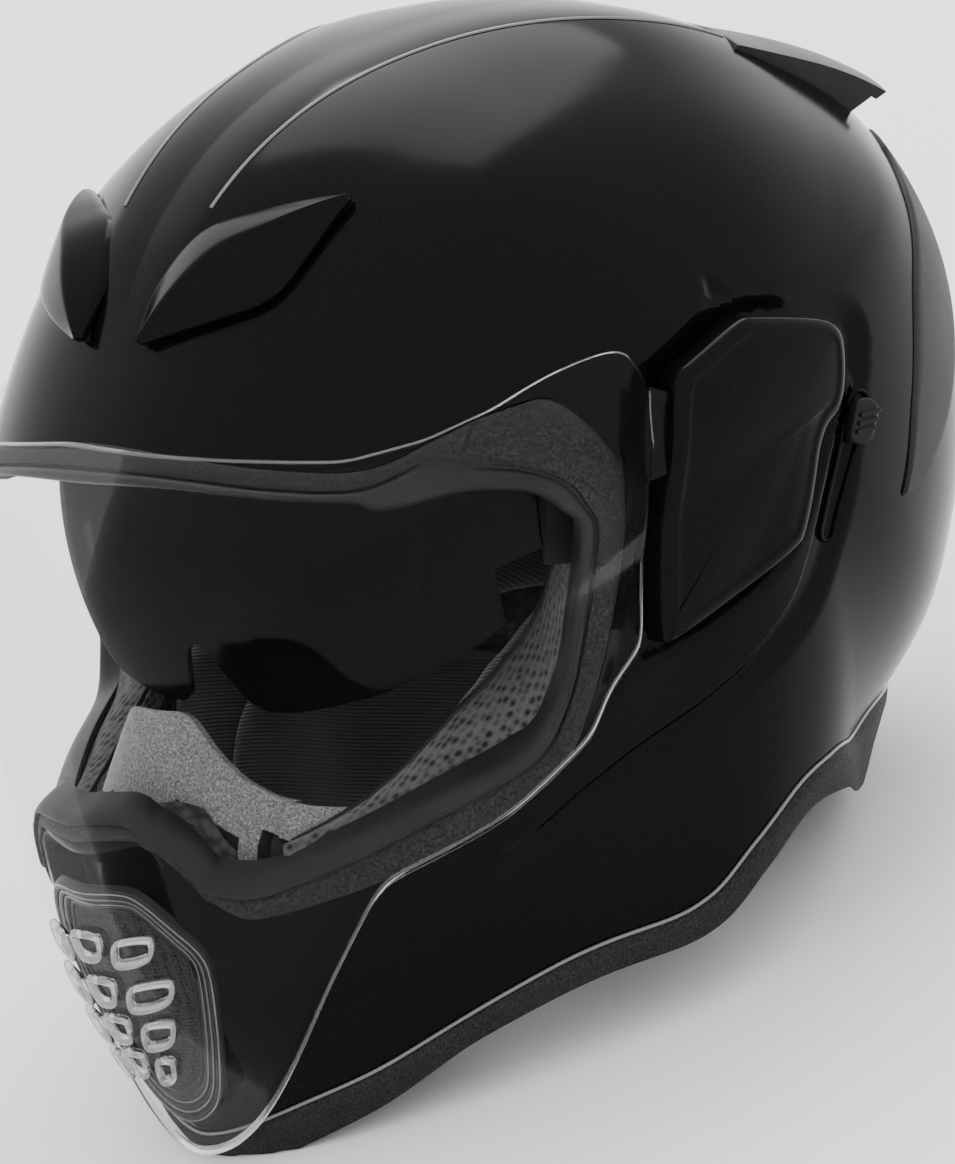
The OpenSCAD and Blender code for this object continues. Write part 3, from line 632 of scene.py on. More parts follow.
EDGE = see_through("clear_edge", (0.72, 0.76, 0.78), 0.12, 0.06, shine=0.8)
LOUVRE = see_through("louvre_edge", (0.8, 0.82, 0.83), 0.07, 0.2, shine=1.0)
SMOKE = see_through("smoke_sheet", (0.12, 0.12, 0.125), 0.05, 0.004, shine=0.08)
SPECKLE = pebbled("speckled_sheet", 0.03, 0.3, (0.7, 0.85), 1300.0, 0.0003)

# ---------------------------------------------------------------- shell
COLS = 560


def column_angles(n):
    """Angles of the shell's columns, evenly spaced along its girth."""
    t = np.linspace(-180, 180, 1801)
    r0, r1 = edge_r(PORT_T, t), edge_r(RIM_T, t)
    w = 0
    for u in (0.25, 0.5, 0.75):
        p = skin(from_oval(t, mix(r0, r1, u)))
        w = w + np.linalg.norm(np.diff(p, axis=0), axis=1)
    s = np.r_[0, np.cumsum(w + 0.15 * w.mean())]
    return np.interp(np.arange(n) / n, s / s[-1], t)


def arc_rows(th, r0, r1, s_head, s_tail, middle):
    """Oval radii for each column so that rows sit at set distances in mm from both edges."""
    fine = np.linspace(0, 1, 240)
    rr = r0[:, None] + (r1 - r0)[:, None] * fine
    p = skin(from_oval(th[:, None], rr))
    s = np.concatenate([np.zeros((len(th), 1)), np.cumsum(np.linalg.norm(np.diff(p, axis=1), axis=2), axis=1)], 1)
    total = s[:, -1]
    rows = []
    for k in range(len(th)):
        mid = np.linspace(s_head[-1], total[k] - s_tail[-1], middle + 2)[1:-1]
        want = np.r_[s_head, mid, total[k] - np.array(s_tail[::-1])]
        rows.append((np.interp(want, s[k], rr[k]), np.minimum(want, total[k] - want)))
    return np.array([r for r, _ in rows]), np.array([e for _, e in rows])


def build_shell():
    th = column_angles(COLS)
    r0, r1 = edge_r(PORT_T, th), edge_r(RIM_T, th)
    head = np.array([0, 0.15, 0.5, 1.0, 1.7, 2.6, 4.0, 6.0])
    r, s = arc_rows(th, r0, r1, head, head, 134)
    d = from_oval(th[:, None], r)
    lip = 2.0
    fall = lip - np.sqrt(np.maximum(lip ** 2 - np.maximum(lip - s, 0) ** 2, 0))
    rel = relief(d)
    outer = skin(d, rel - fall)
    inner_at = np.r_[0, 3, 6, np.arange(14, r.shape[1] - 10, 14), r.shape[1] - 7, r.shape[1] - 4, r.shape[1] - 1][::-1]
    pocket = np.minimum(rel, 0)[:, inner_at]
    inner = skin(d[:, inner_at], pocket - WALL + np.minimum(fall[:, inner_at], 1.0))
    pts = stand(np.concatenate([outer, inner], 1))
    o = hoop("shell", pts, GLOSS, "helmet", 60)
    ti, tj = np.roll(pts, -1, 0) - np.roll(pts, 1, 0), np.roll(pts, -1, 1) - np.roll(pts, 1, 1)
    n = np.cross(ti, tj)
    e_th, e_r = 0.12, 0.003

    def at(dth, dr):
        q = from_oval(th[:, None] + dth, r + dr)
        return stand(skin(q, relief(q)))

    fine = np.cross(at(e_th, 0) - at(-e_th, 0), at(0, e_r) - at(0, -e_r))
    rows = np.arange(8, r.shape[1] - 8)
    n[:, rows] = fine[:, rows] * np.sign((fine * n[:, :r.shape[1]]).sum(-1))[:, rows, None]
    n /= np.linalg.norm(n, axis=-1, keepdims=True) + 1e-12
    centre = pts.reshape(-1, 3).mean(0)
    if ((pts[:, 70] - centre) * n[:, 70]).sum() < 0:
        n = -n
    o.data.normals_split_custom_set_from_vertices(n.reshape(-1, 3).tolist())
    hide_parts("outer_shell")
    return o


build_shell()


def build_beads():
    """Fine raised lines along the spine's two ridges and the shell's lower edge, lighter grey than the shell: painted
    highlights.
    """
    a = np.linspace(23, 113, 260)
    for tag, side in (("left", 1), ("right", -1)):
        d = aim_x(a, side * np.interp(a, *RIDGE_T))
        tube("spine_highlight_line_" + tag, stand(skin(d, relief(d) + 0.05)), 0.00055, PAINTED_HIGHLIGHT, "helmet", ring=False)
    th = -180 + 360 * np.arange(500) / 500
    d = from_oval(th, edge_r(RIM_T, th) - 0.006)
    tube("rim_highlight_line", stand(skin(d, 0.2)), 0.0006, PAINTED_HIGHLIGHT, "helmet")


build_beads()


# ---------------------------------------------------------------- edge seal of the eye port
def build_seal():
    th = -180 + 360 * np.arange(480) / 480
    port = edge_r(PORT_T, th)
    r0 = np.minimum(edge_r(SEAL_T, th), port - 0.022)
    r1 = np.maximum(port + 0.012, r0 + 0.05)
    # (share of the width from the inner edge, height): outer face, groove, bead, inner wall
    prof = [
        (1.0, -1.2), (0.98, 0.2), (0.9, 0.7), (0.7, 0.9), (0.5, 0.8), (0.38, 0.5), (0.335, -0.5), (0.3, -0.5),
        (0.26, 0.9), (0.2, 1.7), (0.1, 2.0), (0.02, 1.6), (-0.05, 0.6), (-0.1, -1.2), (-0.12, -4.0), (-0.1, -9.0),
        (0.02, -9.6), (0.3, -7.0), (0.8, -6.5), (1.0, -5.5),
    ]
    f, off = np.array(prof).T
    r = r0[:, None] + (r1 - r0)[:, None] * f
    d = from_oval(th[:, None], r)
    foot = np.where(f == 1.0, np.minimum(relief(d), 0), 0)
    groove = (f > 0.29) & (f < 0.34) & (off > -1) & (r > port[:, None] - 0.008)
    pts = stand(skin(d, np.where(groove, 0.3, off) + foot))
    o = hoop("port_seal", pts, [SEAL, LIP], "helmet", 50)
    loop = len(prof)
    idx = np.zeros(len(o.data.polygons), np.int32)
    for k, poly in enumerate(o.data.polygons):
        col = sorted({v % loop for v in poly.vertices})
        idx[k] = 1 if 6 <= col[0] <= 17 and col[-1] <= 18 else 0
    o.data.polygons.foreach_set("material_index", idx)
    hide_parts("eyeport_gasket")


build_seal()


# ---------------------------------------------------------------- trim round the neck opening
def build_trim():
    n = 360
    th = -180 + 360 * np.arange(n) / n
    sn = np.sin(np.radians(th))
    nape = ease((-sn - 0.3) / 0.6)
    r0 = edge_r(RIM_T, th) + 0.002
    wide = 0.065 + 0.14 * nape + 0.05 * ease(sn * 3 - 2)
    prof = [
        (-0.02, 0.6), (0.0, 1.8), (0.08, 2.3), (0.3, 2.2), (0.5, 2.0), (0.75, 2.0), (0.93, 1.7), (0.99, 0.6), (1.0, -1.5),
        (0.98, -4.0), (0.9, -5.0), (0.5, -6.6), (0.1, -8.4), (-0.02, -7.0), (-0.02, -3.0),
    ]
    f, off = np.array(prof).T
    f2 = np.clip(f, 0, 1)
    r = r0[:, None] + wide[:, None] * f
    h = off[None] + 9 * nape[:, None] * f2
    p = stand(skin(from_oval(th[:, None], r), h))
    p[..., 2] = np.maximum(p[..., 2], 0.0)
    o = hoop("neck_trim", p, TRIM, "helmet", 50)
    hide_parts("base_trim")


build_trim()


# ---------------------------------------------------------------- clear shield
def smooth_table(keys, width=1.2):
    x, v = np.array(keys, float).T
    t = np.linspace(0, 65.5, 1311)
    f = np.interp(t, x, v)
    k = np.exp(-0.5 * (np.arange(-60, 61) * 0.05 / width) ** 2)
    k /= k.sum()
    pad = np.r_[f[60:0:-1], f, 2 * f[-1] - f[-2:-62:-1]]
    return t, np.convolve(pad, k, "valid")


LOW_T, HIGH_T = smooth_table(SHIELD_LOW), smooth_table(SHIELD_HIGH)
SHIELD_OFF, SHIELD_T = 6.0, 2.2


def shield_off(a):
    """Gap under the shield: it draws in towards the chin."""
    return SHIELD_OFF - 2.4 * ease((-33 - a) / 9)


def build_shield():
    ni, nj = 240, 64
    t = 65.5 * np.sin(np.linspace(-1, 1, ni) * np.pi / 2 * 0.999) * 0.4 + 65.5 * np.linspace(-1, 1, ni) * 0.6
    v = np.r_[0, 0.006, np.linspace(0.02, 0.98, nj - 4), 0.994, 1]
    low, high = np.interp(np.abs(t), *LOW_T), np.interp(np.abs(t), *HIGH_T)
    a = low[:, None] + (high - low)[:, None] * v
    d = aim(a, np.broadcast_to(t[:, None], a.shape))
    edge = np.zeros(a.shape)
    edge[[0, -1], :] = 0.5
    edge[:, [0, -1]] = 0.5
    off = shield_off(a)
    top, bottom = stand(skin(d, off + SHIELD_T - edge)), stand(skin(d, off + edge * 0.6))
    o = slab("clear_shield", top, bottom, [CLEAR, EDGE], "shield", sharp=40)
    me = o.data
    n = ni * nj
    for p in me.polygons:
        vs = list(p.vertices)
        if min(vs) < n <= max(vs):
            p.material_index = 1
        else:
            w = [x % n for x in vs]
            i, j = [x // nj for x in w], [x % nj for x in w]
            if min(j) == 0 or max(j) == nj - 1 or min(i) == 0 or max(i) == ni - 1:
                p.material_index = 1
    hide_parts("shield")


build_shield()


# Raised louvre rims on the shield in front of the chin vent
CHIN_MM = 3.1


def chin_lift(loop, h):
    return stand(skin(aim_x(loop[..., 1] / CHIN_MM, loop[..., 0]), h))


# Windows from the top down: angle, inner and outer x along the top, then along the bottom
LOUVRES = [(-45.2, 9.4, 22.5, 7.2, 20.5), (-48.7, 9.2, 24, 6.6, 21.5), (-51.7, 8.6, 20, 6, 16.5), (-54.5, 7.5, 14.5, 5, 11)]


def build_louvres():
    for side, tag in ((-1, "right"), (0, "mid"), (1, "left")):
        for k, (a, t_in, t_out, b_in, b_out) in enumerate(LOUVRES):
            y, h = a * CHIN_MM, 3.7
            if side:
                quad = [(t_in, y + h), (t_out, y + h * 0.7), (b_out, y - h), (b_in, y - h)]
            else:
                t, b = 6.8 - 0.5 * k, 5.0 - 0.5 * k
                quad = [(-t, y + h + 2), (t, y + h + 2), (b, y - h + 2), (-b, y - h + 2)]
            q = np.array(quad)
            n = np.roll(q, -1, 0)
            cut = np.stack([mix(q, n, 0.2), mix(q, n, 0.8)], 1).reshape(-1, 2)
            loop = resample(rounded(cut, 2), 60) * [side or 1, 1]
            prof = [(0.0, 5.2), (0.0, 6.0), (0.35, 6.5), (1.1, 6.5), (1.6, 5.7), (1.7, 4.4), (0.5, 4.2)]
            pts = np.stack([chin_lift(inset(loop, a2), h2) for a2, h2 in prof], 1)
            hoop("louvre_%s_%d" % (tag, k + 1), pts, LOUVRE, "shield", 60)


build_louvres()

# ---------------------------------------------------------------- side plates
PLATE_LOOP = resample(rounded(PLATE, 3), 220)


def build_side_plate(tag, side):
    def lift(loop, h):
        return stand(np.stack([side * flank(loop[..., 0], loop[..., 1], h), loop[..., 0], loop[..., 1]], -1))

    prof = [(0.6, -0.6), (0.1, 1.5), (0.0, 6.6), (0.25, 7.5), (0.8, 8.1), (1.8, 8.6), (3.2, 9.0), (3.6, 9.0), (4.2, 8.75), (5.4, 8.8)]
    o = plate("side_plate_" + tag + "_cover", PLATE_LOOP, lift, prof, GLOSS, "helmet", rings=26, crown=1.4)
    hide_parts("side_plate_" + tag)


sides_of(build_side_plate)

# ---------------------------------------------------------------- forehead vents
VENT_INNER = [[6.2, 4.6], [13, 4.6], [20.3, 7.8], [23.8, 15], [28.2, 25]]
VENT_OUTER = [[6, 5.6], [9.2, 14.8], [12.4, 20.6], [18, 23.2], [27.6, 25.6]]


def spline(keys, u):
    k = np.array(keys, float)
    q = np.vstack([2 * k[0] - k[1], k, 2 * k[-1] - k[-2]])
    s = np.clip(u, 0, 1) * (len(k) - 1)
    i = np.minimum(s.astype(int), len(k) - 2)
    f = (s - i)[..., None]
    return catmull(q[i], q[i + 1], q[i + 2], q[i + 3], f)


def build_vent(tag, side):
    u = np.linspace(0, 1, 90)
    v = np.r_[0, 0.02, 0.05, 0.1, np.linspace(0.16, 0.84, 30), 0.9, 0.95, 0.98, 1]
    a, b = spline(VENT_INNER, u), spline(VENT_OUTER, u)
    k = a[:, None] + (b - a)[:, None] * v[None, :, None]
    d = aim(k[..., 0], k[..., 1])
    d[..., 0] *= side
    crest = 0.4
    roof = np.minimum(v / crest, (1 - v) / (1 - crest))
    roof = 1 - soft(1 - roof, 0.035)
    body = np.sin(np.pi * np.clip(0.04 + 0.93 * u, 0, 1)) ** 0.75
    edge = np.sqrt(np.clip(np.minimum(v, 1 - v) / 0.05, 0, 1))
    h = 2.2 + (1.4 * edge)[None] * np.ones_like(u)[:, None] + 6.4 * body[:, None] * np.maximum(roof, 0)[None]
    h[[0, -1]] = 2.4
    o = slab("vent_cover_" + tag + "_skin", stand(skin(d, h)), stand(skin(d, 2.0)), GLOSS,
             "vent_cover_" + tag, sharp=50)
    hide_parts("vent_cover_" + tag)


sides_of(build_vent)

# ---------------------------------------------------------------- chin vent
VENT_EDGE = [(0, -41), (13, -41.2), (19, -42.2), (26, -45.2), (30.6, -47.6), (31, -49.6), (27.5, -53), (23, -56), (16.5, -59), (8, -60.2), (0, -60.4)]


def vent_outline():
    half = np.array(VENT_EDGE, float)
    half[:, 1] *= CHIN_MM
    full = np.vstack([half, (half * [-1, 1])[-2:0:-1]])
    return resample(rounded(full, 2), 260)


def build_chin_vent():
    loop = vent_outline()
    prof = [(0.0, -0.8), (0.0, 1.2), (0.4, 1.7), (1.3, 1.8), (1.8, 1.5), (2.0, 0.8), (3.1, 0.8), (3.6, 0.5),
            (3.8, -0.2), (4.9, -0.2), (5.4, -0.6), (5.6, -1.2), (6.7, -1.3), (7.1, -1.8), (7.3, -3.4), (5.0, -3.6)]
    pts = np.stack([chin_lift(inset(loop, a), h) for a, h in prof], 1)
    o = hoop("chin_vent_surround", pts, SATIN, "helmet", 30)
    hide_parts("chin_vent_frame")
    # Thin beads on the steps in the lighter grey: painted highlight lines
    for k, (a, h) in enumerate([(0.7, 1.75), (2.6, 0.85), (4.4, -0.15)]):
        tube("chin_vent_highlight_line_%d" % (k + 1), chin_lift(inset(loop, a), h), 0.00028, PAINTED_HIGHLIGHT, "helmet", sides=6)
    inner = inset(loop, 6.9)
    s = plate("chin_vent_screen", inner, chin_lift, [(0, -3.2), (0, -2.2)], SCREEN, "helmet", rings=12)
    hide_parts("chin_vent_mesh")


build_chin_vent()

# ---------------------------------------------------------------- rear
PANEL_FRONT = [[144.5, 30], [147, 43], [158, 57], [183, 62], [209, 60.4]]
PANEL_REAR = [[145, 22], [152, 30], [166, 39], [186, 50], [208.6, 60]]


def build_rear_panel(tag, side):
    u, v = np.linspace(0, 1, 90), np.r_[0, 0.015, 0.05, np.linspace(0.12, 0.88, 16), 0.95, 0.985, 1]
    a, b = spline(PANEL_FRONT, u), spline(PANEL_REAR, u)
    k = a[:, None] + (b - a)[:, None] * v[None, :, None]
    d = aim(k[..., 0], k[..., 1])
    d[..., 0] *= side
    edge = np.sqrt(np.clip(np.minimum(v, 1 - v) / 0.05, 0, 1))[None] * np.ones_like(u)[:, None]
    edge[[0, -1]] = 0
    rel = relief(d)
    o = slab("rear_panel_" + tag + "_skin", stand(skin(d, rel + 0.2 + 1.0 * edge)), stand(skin(d, rel - 0.6)), DULL,
             "helmet", sharp=50)
    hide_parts("rear_panel_" + tag)


sides_of(build_rear_panel)


def build_spoiler():
    u, v = np.linspace(0, 1, 60), np.linspace(0, 1, 90)
    x = mix(-58, 58, v)
    front = 117 - 0.0012 * x * x
    a = front[None] + (140 - front[None]) * u[:, None]
    d = aim_x(a, np.broadcast_to(x, a.shape))
    side_dip = 1 - 0.25 * np.abs(x / 58) ** 3
    top = 4.6 + (12.6 * u ** 1.25)[:, None] * side_dip
    low = top - 2.6 - 1.2 * u[:, None]
    low[0], top[0] = top[0] - 1.6, top[0] - 0.3
    wing = slab("spoiler_wing", stand(skin(d, top)), stand(skin(d, low)), SATIN, "helmet", sharp=40)
    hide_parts("rear_spoiler")
    for k, xc in enumerate((-55.5, -19, 19, 55.5)):
        xs = xc + np.linspace(-2.4, 2.4, 5)
        uu = np.linspace(0.0, 0.97, 30)
        aa = np.interp(xs, x, front)[None] + (140 - np.interp(xs, x, front))[None] * uu[:, None]
        dd = aim_x(aa, np.broadcast_to(xs, aa.shape))
        dip = (1 - 0.25 * np.abs(xs / 58) ** 3)[None]
        up = 4.6 + (12.6 * uu ** 1.25)[:, None] * dip - 1.6
        slab("spoiler_strut_%d" % (k + 1), stand(skin(dd, up)), stand(skin(dd, relief(dd) - 0.5)), SATIN, "helmet",
             sharp=40)


build_spoiler()

# ---------------------------------------------------------------- sun shield
SUN_LOW = [[0, -24.5], [5, -26], [9, -30.5], [13, -34.5], [18, -36], [30, -36], [60, -34.5], [80, -32], [87.5, -30],
           [88.3, -29], [88.8, -17], [96, -15]]
SUN_REACH, SUN_HALF, SUN_T = 110.0, 106.0, 2.0


def build_sun():
    x = 96 * np.sin(np.linspace(-1, 1, 200) * np.pi / 2)
    x = np.sort(np.r_[x, [-88.8, -88.3, 88.3, 88.8]])
    v = np.r_[0, 0.012, np.linspace(0.03, 1, 30)]
    keys = np.array(SUN_LOW, float)
    low = np.interp(np.abs(x), keys[:, 0], keys[:, 1])
    a = np.radians(low[:, None] + (8 - low[:, None]) * v)

    def at(reach):
        r = reach * (1 - (np.abs(x) / SUN_HALF) ** 2.5) ** 0.4
        return stand(np.stack([np.broadcast_to(x[:, None], a.shape), SUN_PIVOT[0] - r[:, None] * np.cos(a),
                               SUN_PIVOT[1] + r[:, None] * np.sin(a)], -1))

    o = slab("sun_shield_lens", at(SUN_REACH), at(SUN_REACH - SUN_T), [SMOKE, EDGE], "sun_shield", sharp=40)
    n = len(x) * len(v)
    for p in o.data.polygons:
        vs = list(p.vertices)
        if min(vs) < n <= max(vs):
            p.material_index = 0
    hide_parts("sun_lens")


build_sun()


# ---------------------------------------------------------------- breath deflector and curtain
def build_deflector():
    ni, nj = 260, 90
    x = np.linspace(-64, 64, ni)
    base = skin(aim_x(-42 - 0.0026 * x * x, x), -20.0)
    ax = np.abs(x)
    rise = np.interp(ax, [0, 10, 13, 20, 28, 36, 46, 56, 60, 63, 64], [37, 37, 36, 27, 19, 14.5, 12.5, 12, 10.5, 6, 1.5])
    k = np.exp(-0.5 * (np.arange(-9, 10) / 4.0) ** 2)
    rise = np.convolve(np.pad(rise, 9, mode="edge"), k / k.sum(), "valid")
    v = np.linspace(0, 1, nj)
    crease = 2.6 * soft(ax - 11.5, 1.2) / 20
    y = base[:, 1, None] + 7 * v[None] * (rise / 37)[:, None] + (crease * (ax < 40))[:, None] * v[None] + 1.8 * v[None] ** 6
    z = base[:, 2, None] + rise[:, None] * v[None] - 60 * np.maximum(0.12 - v[None], 0)
    x2 = np.broadcast_to(x[:, None], y.shape)
    h = rise[:, None] * v[None]
    # Slots along the foot: pairs of (inner x, outer x, height at the inner and outer end)
    slots = [(4.5, 9.5, 11.5, 10.5), (14, 31, 13, 3.5), (36, 45, 6, 2)]
    hole = np.zeros(h.shape, bool)
    for a, b, ha, hb in slots:
        hole |= (ax[:, None] > a) & (ax[:, None] < b) & (h < mix(ha, hb, (ax[:, None] - a) / (b - a)))
    # The slots are not cut through: their floor sits 4 mm back and is coloured dull black, painted shade for the dark
    # seen through them
    deep = np.where(hole, 4.0, 0.0)
    front = stand(np.stack([x2, y + deep, z], -1))
    back = stand(np.stack([x2, y + deep + 2.2, z - 0.2], -1))
    o = slab("nose_deflector", front, back, [NOSE, DULL], "helmet", sharp=40)
    n = ni * nj
    flat = hole.ravel()
    # Slot floors take the dull black: painted shade
    for p in o.data.polygons:
        if any(flat[v % n] for v in p.vertices):
            p.material_index = 1
    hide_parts("breath_deflector")


build_deflector()


def build_curtain():
    x = np.linspace(-42, 42, 60)
    f = skin(aim_x(np.full(60, 297.0), x), -14)
    v = np.linspace(0, 1, 40)
    y = mix(f[:, 1, None], (-66 + 0.004 * x ** 2)[:, None], v)
    z = f[:, 2, None] + mix(2, 10, v) + 2.2 * np.sin(np.pi * v)[None] * np.cos(np.pi * x / 84)[:, None]
    x2 = np.broadcast_to(x[:, None], y.shape)
    up = stand(np.stack([x2, y, z + 0.9], -1))
    o = slab("chin_curtain_sheet", up, stand(np.stack([x2, y, z], -1)), SPECKLE, "helmet", sharp=50)
    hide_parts("chin_curtain")


build_curtain()


# ---------------------------------------------------------------- soft lining
def cad_copy(name, node, shrink=0.0):
    src = NODES[node]
    me = src.data.copy()
    o = bpy.data.objects.new(name, me)
    bpy.context.scene.collection.objects.link(o)
    me.materials.clear()
    if shrink:
        co = np.zeros(len(me.vertices) * 3)
        me.vertices.foreach_get("co", co)
        no = np.array([v.normal for v in me.vertices])
        me.vertices.foreach_set("co", (co.reshape(-1, 3) - no * shrink).ravel())
    return o


def apply_all(o):
    dg = bpy.context.evaluated_depsgraph_get()
    me = bpy.data.meshes.new_from_object(o.evaluated_get(dg))
    old = o.data
    o.modifiers.clear()
    o.data = me
    bpy.data.meshes.remove(old)


def soften(o, steps=6):
    m = o.modifiers.new("soften", "SMOOTH")
    m.iterations = steps
    m.factor = 0.5
    apply_all(o)


def inflate(o, voxel, cap, pressure=4.0, sub=1):
    """Remesh, swell by cloth pressure, cap the swelling, and subdivide."""
    r = o.modifiers.new("remesh", "REMESH")
    r.mode = "VOXEL"
    r.voxel_size = voxel
    apply_all(o)
    soften(o, 8)
    start = np.array([v.co[:] for v in o.data.vertices])
    c = o.modifiers.new("cloth", "CLOTH")
    s = c.settings
    s.use_pressure = True
    s.uniform_pressure_force = pressure
    s.effector_weights.gravity = 0
    s.quality = 5
    c.point_cache.frame_start, c.point_cache.frame_end = 1, 20
    for f in range(1, 21):
        bpy.context.scene.frame_set(f)
    dg = bpy.context.evaluated_depsgraph_get()
    ev = o.evaluated_get(dg)
    end = np.array([v.co[:] for v in ev.data.vertices])
    o.modifiers.clear()
    move = end - start
    far = np.linalg.norm(move, axis=1, keepdims=True)
    move *= np.minimum(1, cap / np.maximum(far, 1e-9))
    o.data.vertices.foreach_set("co", (start + move).ravel())
    bpy.context.scene.frame_set(1)
    soften(o, 3)
    m = o.modifiers.new("sub", "SUBSURF")
    m.levels = m.render_levels = sub
    apply_all(o)
    o.data.polygons.foreach_set("use_smooth", np.ones(len(o.data.polygons), bool))


def section_path(o, point, normal, n=160):
    """The loop where a plane cuts a mesh, as evenly spaced points."""
    import bmesh
    bm = bmesh.new()
    bm.from_mesh(o.data)
    geom = bm.verts[:] + bm.edges[:] + bm.faces[:]
    cut = bmesh.ops.bisect_plane(bm, geom=geom, plane_co=point, plane_no=normal)["geom_cut"]
    edges = [e for e in cut if isinstance(e, bmesh.types.BMEdge)]
    link = {}
    for e in edges:
        for a, b in ((e.verts[0], e.verts[1]), (e.verts[1], e.verts[0])):
            link.setdefault(a, []).append(b)
    if not link:
        bm.free()
        return None
    best = []
    left = set(link)
    while left:
        chain = [min(left, key=lambda v: v.index)]
        left.discard(chain[0])
        while True:
            nxt = [v for v in link[chain[-1]] if v in left]
            if not nxt:
                break
            chain.append(nxt[0])
            left.discard(nxt[0])
        if len(chain) > len(best):
            best = chain
    pts = np.array([v.co[:] for v in best])
    bm.free()
    return resample(pts, n)


def build_cheek(tag, side):
    node = "cheek_pad_" + tag
    o = cad_copy(node + "_cushion", node, 0.0012)
    inflate(o, 0.0042, 0.006)
    o.data.materials.append(KNIT)
    o.data.materials.append(RIBS)
    lo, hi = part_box(node)
    inner_x = min(abs(lo.x), abs(hi.x))
    for p in o.data.polygons:
        deep = abs(p.center.x) - inner_x
        if deep < 0.014 and p.normal.x * side < 0.35:
            p.material_index = 1
    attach(o, "helmet")
    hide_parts(node)
    path = section_path(o, Vector((side * (inner_x + 0.0145), 0, 0)), Vector((1, 0, 0)))
    if path is not None:
        tube(node + "_piping", path, 0.0009, LIP, "helmet")


sides_of(build_cheek)


def build_cheek_front(tag, side):
    """Quilted front end of the cheek pad, between the port seal and the breath deflector."""
    n = 100
    u = np.linspace(0, 1, n)
    keys = [[-44.5, 15.5], [-47.5, 22], [-49.5, 29], [-51.5, 35], [-50.5, 42], [-44, 48], [-35, 52.5]]
    edge = spline(keys, u)
    d = aim(edge[:, 0], edge[:, 1])[:, None] * [side, 1, 1]
    v = np.linspace(0, 1, 36)
    at = np.arange(7) / 6
    deep = np.interp(u, at, [8, 16, 24, 25, 25, 25, 24])[:, None]
    roof = np.interp(u, at, [-4, -1, 2, 6, 7, 4, 0])[:, None]
    off = -8.0 - deep * v[None] + 3.0 * np.sin(np.pi * v)[None]
    p = skin(np.broadcast_to(d, (n, 36, 3)), off)
    p[..., 2] += roof * v[None] + 3.0 * np.sin(np.pi * v)[None] - 1.5
    q = p.copy()
    q[..., 2] -= 5.0 + 4 * v[None]
    o = slab("cheek_front_" + tag, stand(p), stand(q), KNIT, "helmet", sharp=60)
    tube("cheek_front_" + tag + "_piping", stand(p[:, -4]), 0.0009, LIP, "helmet", ring=False)


sides_of(build_cheek_front)


def build_cheek_flap(tag, side):
    """Padded flap of the cheek pad that hangs inside the chin strap."""
    n, m = 90, 40
    u, th = np.linspace(0, 1, n), np.arange(m) / m * 2 * np.pi
    y = mix(-60, 60, u)
    end = np.maximum(1 - np.abs(2 * u - 1) ** 6, 0.001) ** 0.5
    low = -131 - 17 * ease((-y - 2) / 50) + 22 * ease((y + 4) / 40)
    mid, tall = (low - 86) / 2, (-86 - low) / 2
    xc = 54 - 8 * ease((-y - 10) / 50)
    c, w = np.cos(th), np.sin(th)
    x = xc[:, None] + (7.0 * end)[:, None] * np.sign(c) * np.abs(c) ** 0.7
    z = mid[:, None] + (tall * end)[:, None] * np.sign(w) * np.abs(w) ** 0.6
    p = np.stack([side * x, np.broadcast_to(y[:, None], x.shape), z], -1)
    faces = grid_faces(n, m, False, True) + [list(range(m)), list(range((n - 1) * m, n * m))[::-1]]
    o = new_object("cheek_flap_" + tag, stand(p).reshape(-1, 3), faces, RIBS, "helmet", 60)


sides_of(build_cheek_flap)


def build_crown():
    o = cad_copy("crown_lining", "crown_liner", 0.0006)
    inflate(o, 0.005, 0.005, 3.0)
    o.data.materials.append(BRUSHED)
    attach(o, "helmet")
    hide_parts("crown_liner")
    n = cad_copy("neck_cushion", "neck_roll", 0.0006)
    inflate(n, 0.0045, 0.005, 3.0)
    n.data.materials.append(BRUSHED)
    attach(n, "helmet")
    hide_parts("neck_roll")


build_crown()

# ---------------------------------------------------------------- sun shield lever
SLOT_TOP, SLOT_FOOT = np.array([31.5, -2.0]), np.array([21.5, -39.0])


def side_lift(loop, h):
    y, z = loop[..., 0], loop[..., 1]
    d = np.stack([flank(y, z), y, z], -1)
    return stand(np.stack([flank(y, z, relief(d) + h), y, z], -1))


def capsule(a, b, half, n=72):
    t = np.linspace(-90, 90, n // 2)
    axis = (b - a) / np.linalg.norm(b - a)
    turn = np.array([-axis[1], axis[0]])
    c, s_ = np.cos(np.radians(t))[:, None], np.sin(np.radians(t))[:, None]
    return np.vstack([b + half * (c * axis + s_ * turn), a + half * (-c * axis - s_ * turn)])


def build_lever():
    loop = resample(capsule(SLOT_TOP, SLOT_FOOT, 3.0), 120)
    prof = [(0, -1.6), (0, 0.9), (0.35, 1.3), (0.9, 1.3), (1.2, 0.9), (1.3, -0.6)]
    track = plate("lever_slot", loop, side_lift, prof, GLOSS, "helmet", rings=6)
    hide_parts("lever_track")
    top = mix(SLOT_TOP, SLOT_FOOT, 0.08)
    foot = mix(SLOT_TOP, SLOT_FOOT, 0.24)
    knob = resample(capsule(top, foot, 3.6), 90)
    prof = [(0.4, 1.6), (0.0, 2.2), (0.0, 4.2), (0.4, 5.0), (1.0, 5.4)]
    o = plate("lever_knob", knob, side_lift, prof, SATIN, "sun_lever", rings=6, crown=0.6)
    ribs = [(0.0, 5.4), (0.1, 6.5), (0.4, 6.7)]
    for k in range(3):
        c = mix(top, foot, 0.1 + 0.4 * k)
        across = np.array([2.2, 0.6])
        plate("lever_grip_%d" % (k + 1), resample(capsule(c - across, c + across, 0.7), 40), side_lift, ribs, SATIN,
              "sun_lever", rings=3)
    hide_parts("sun_lever")


build_lever()

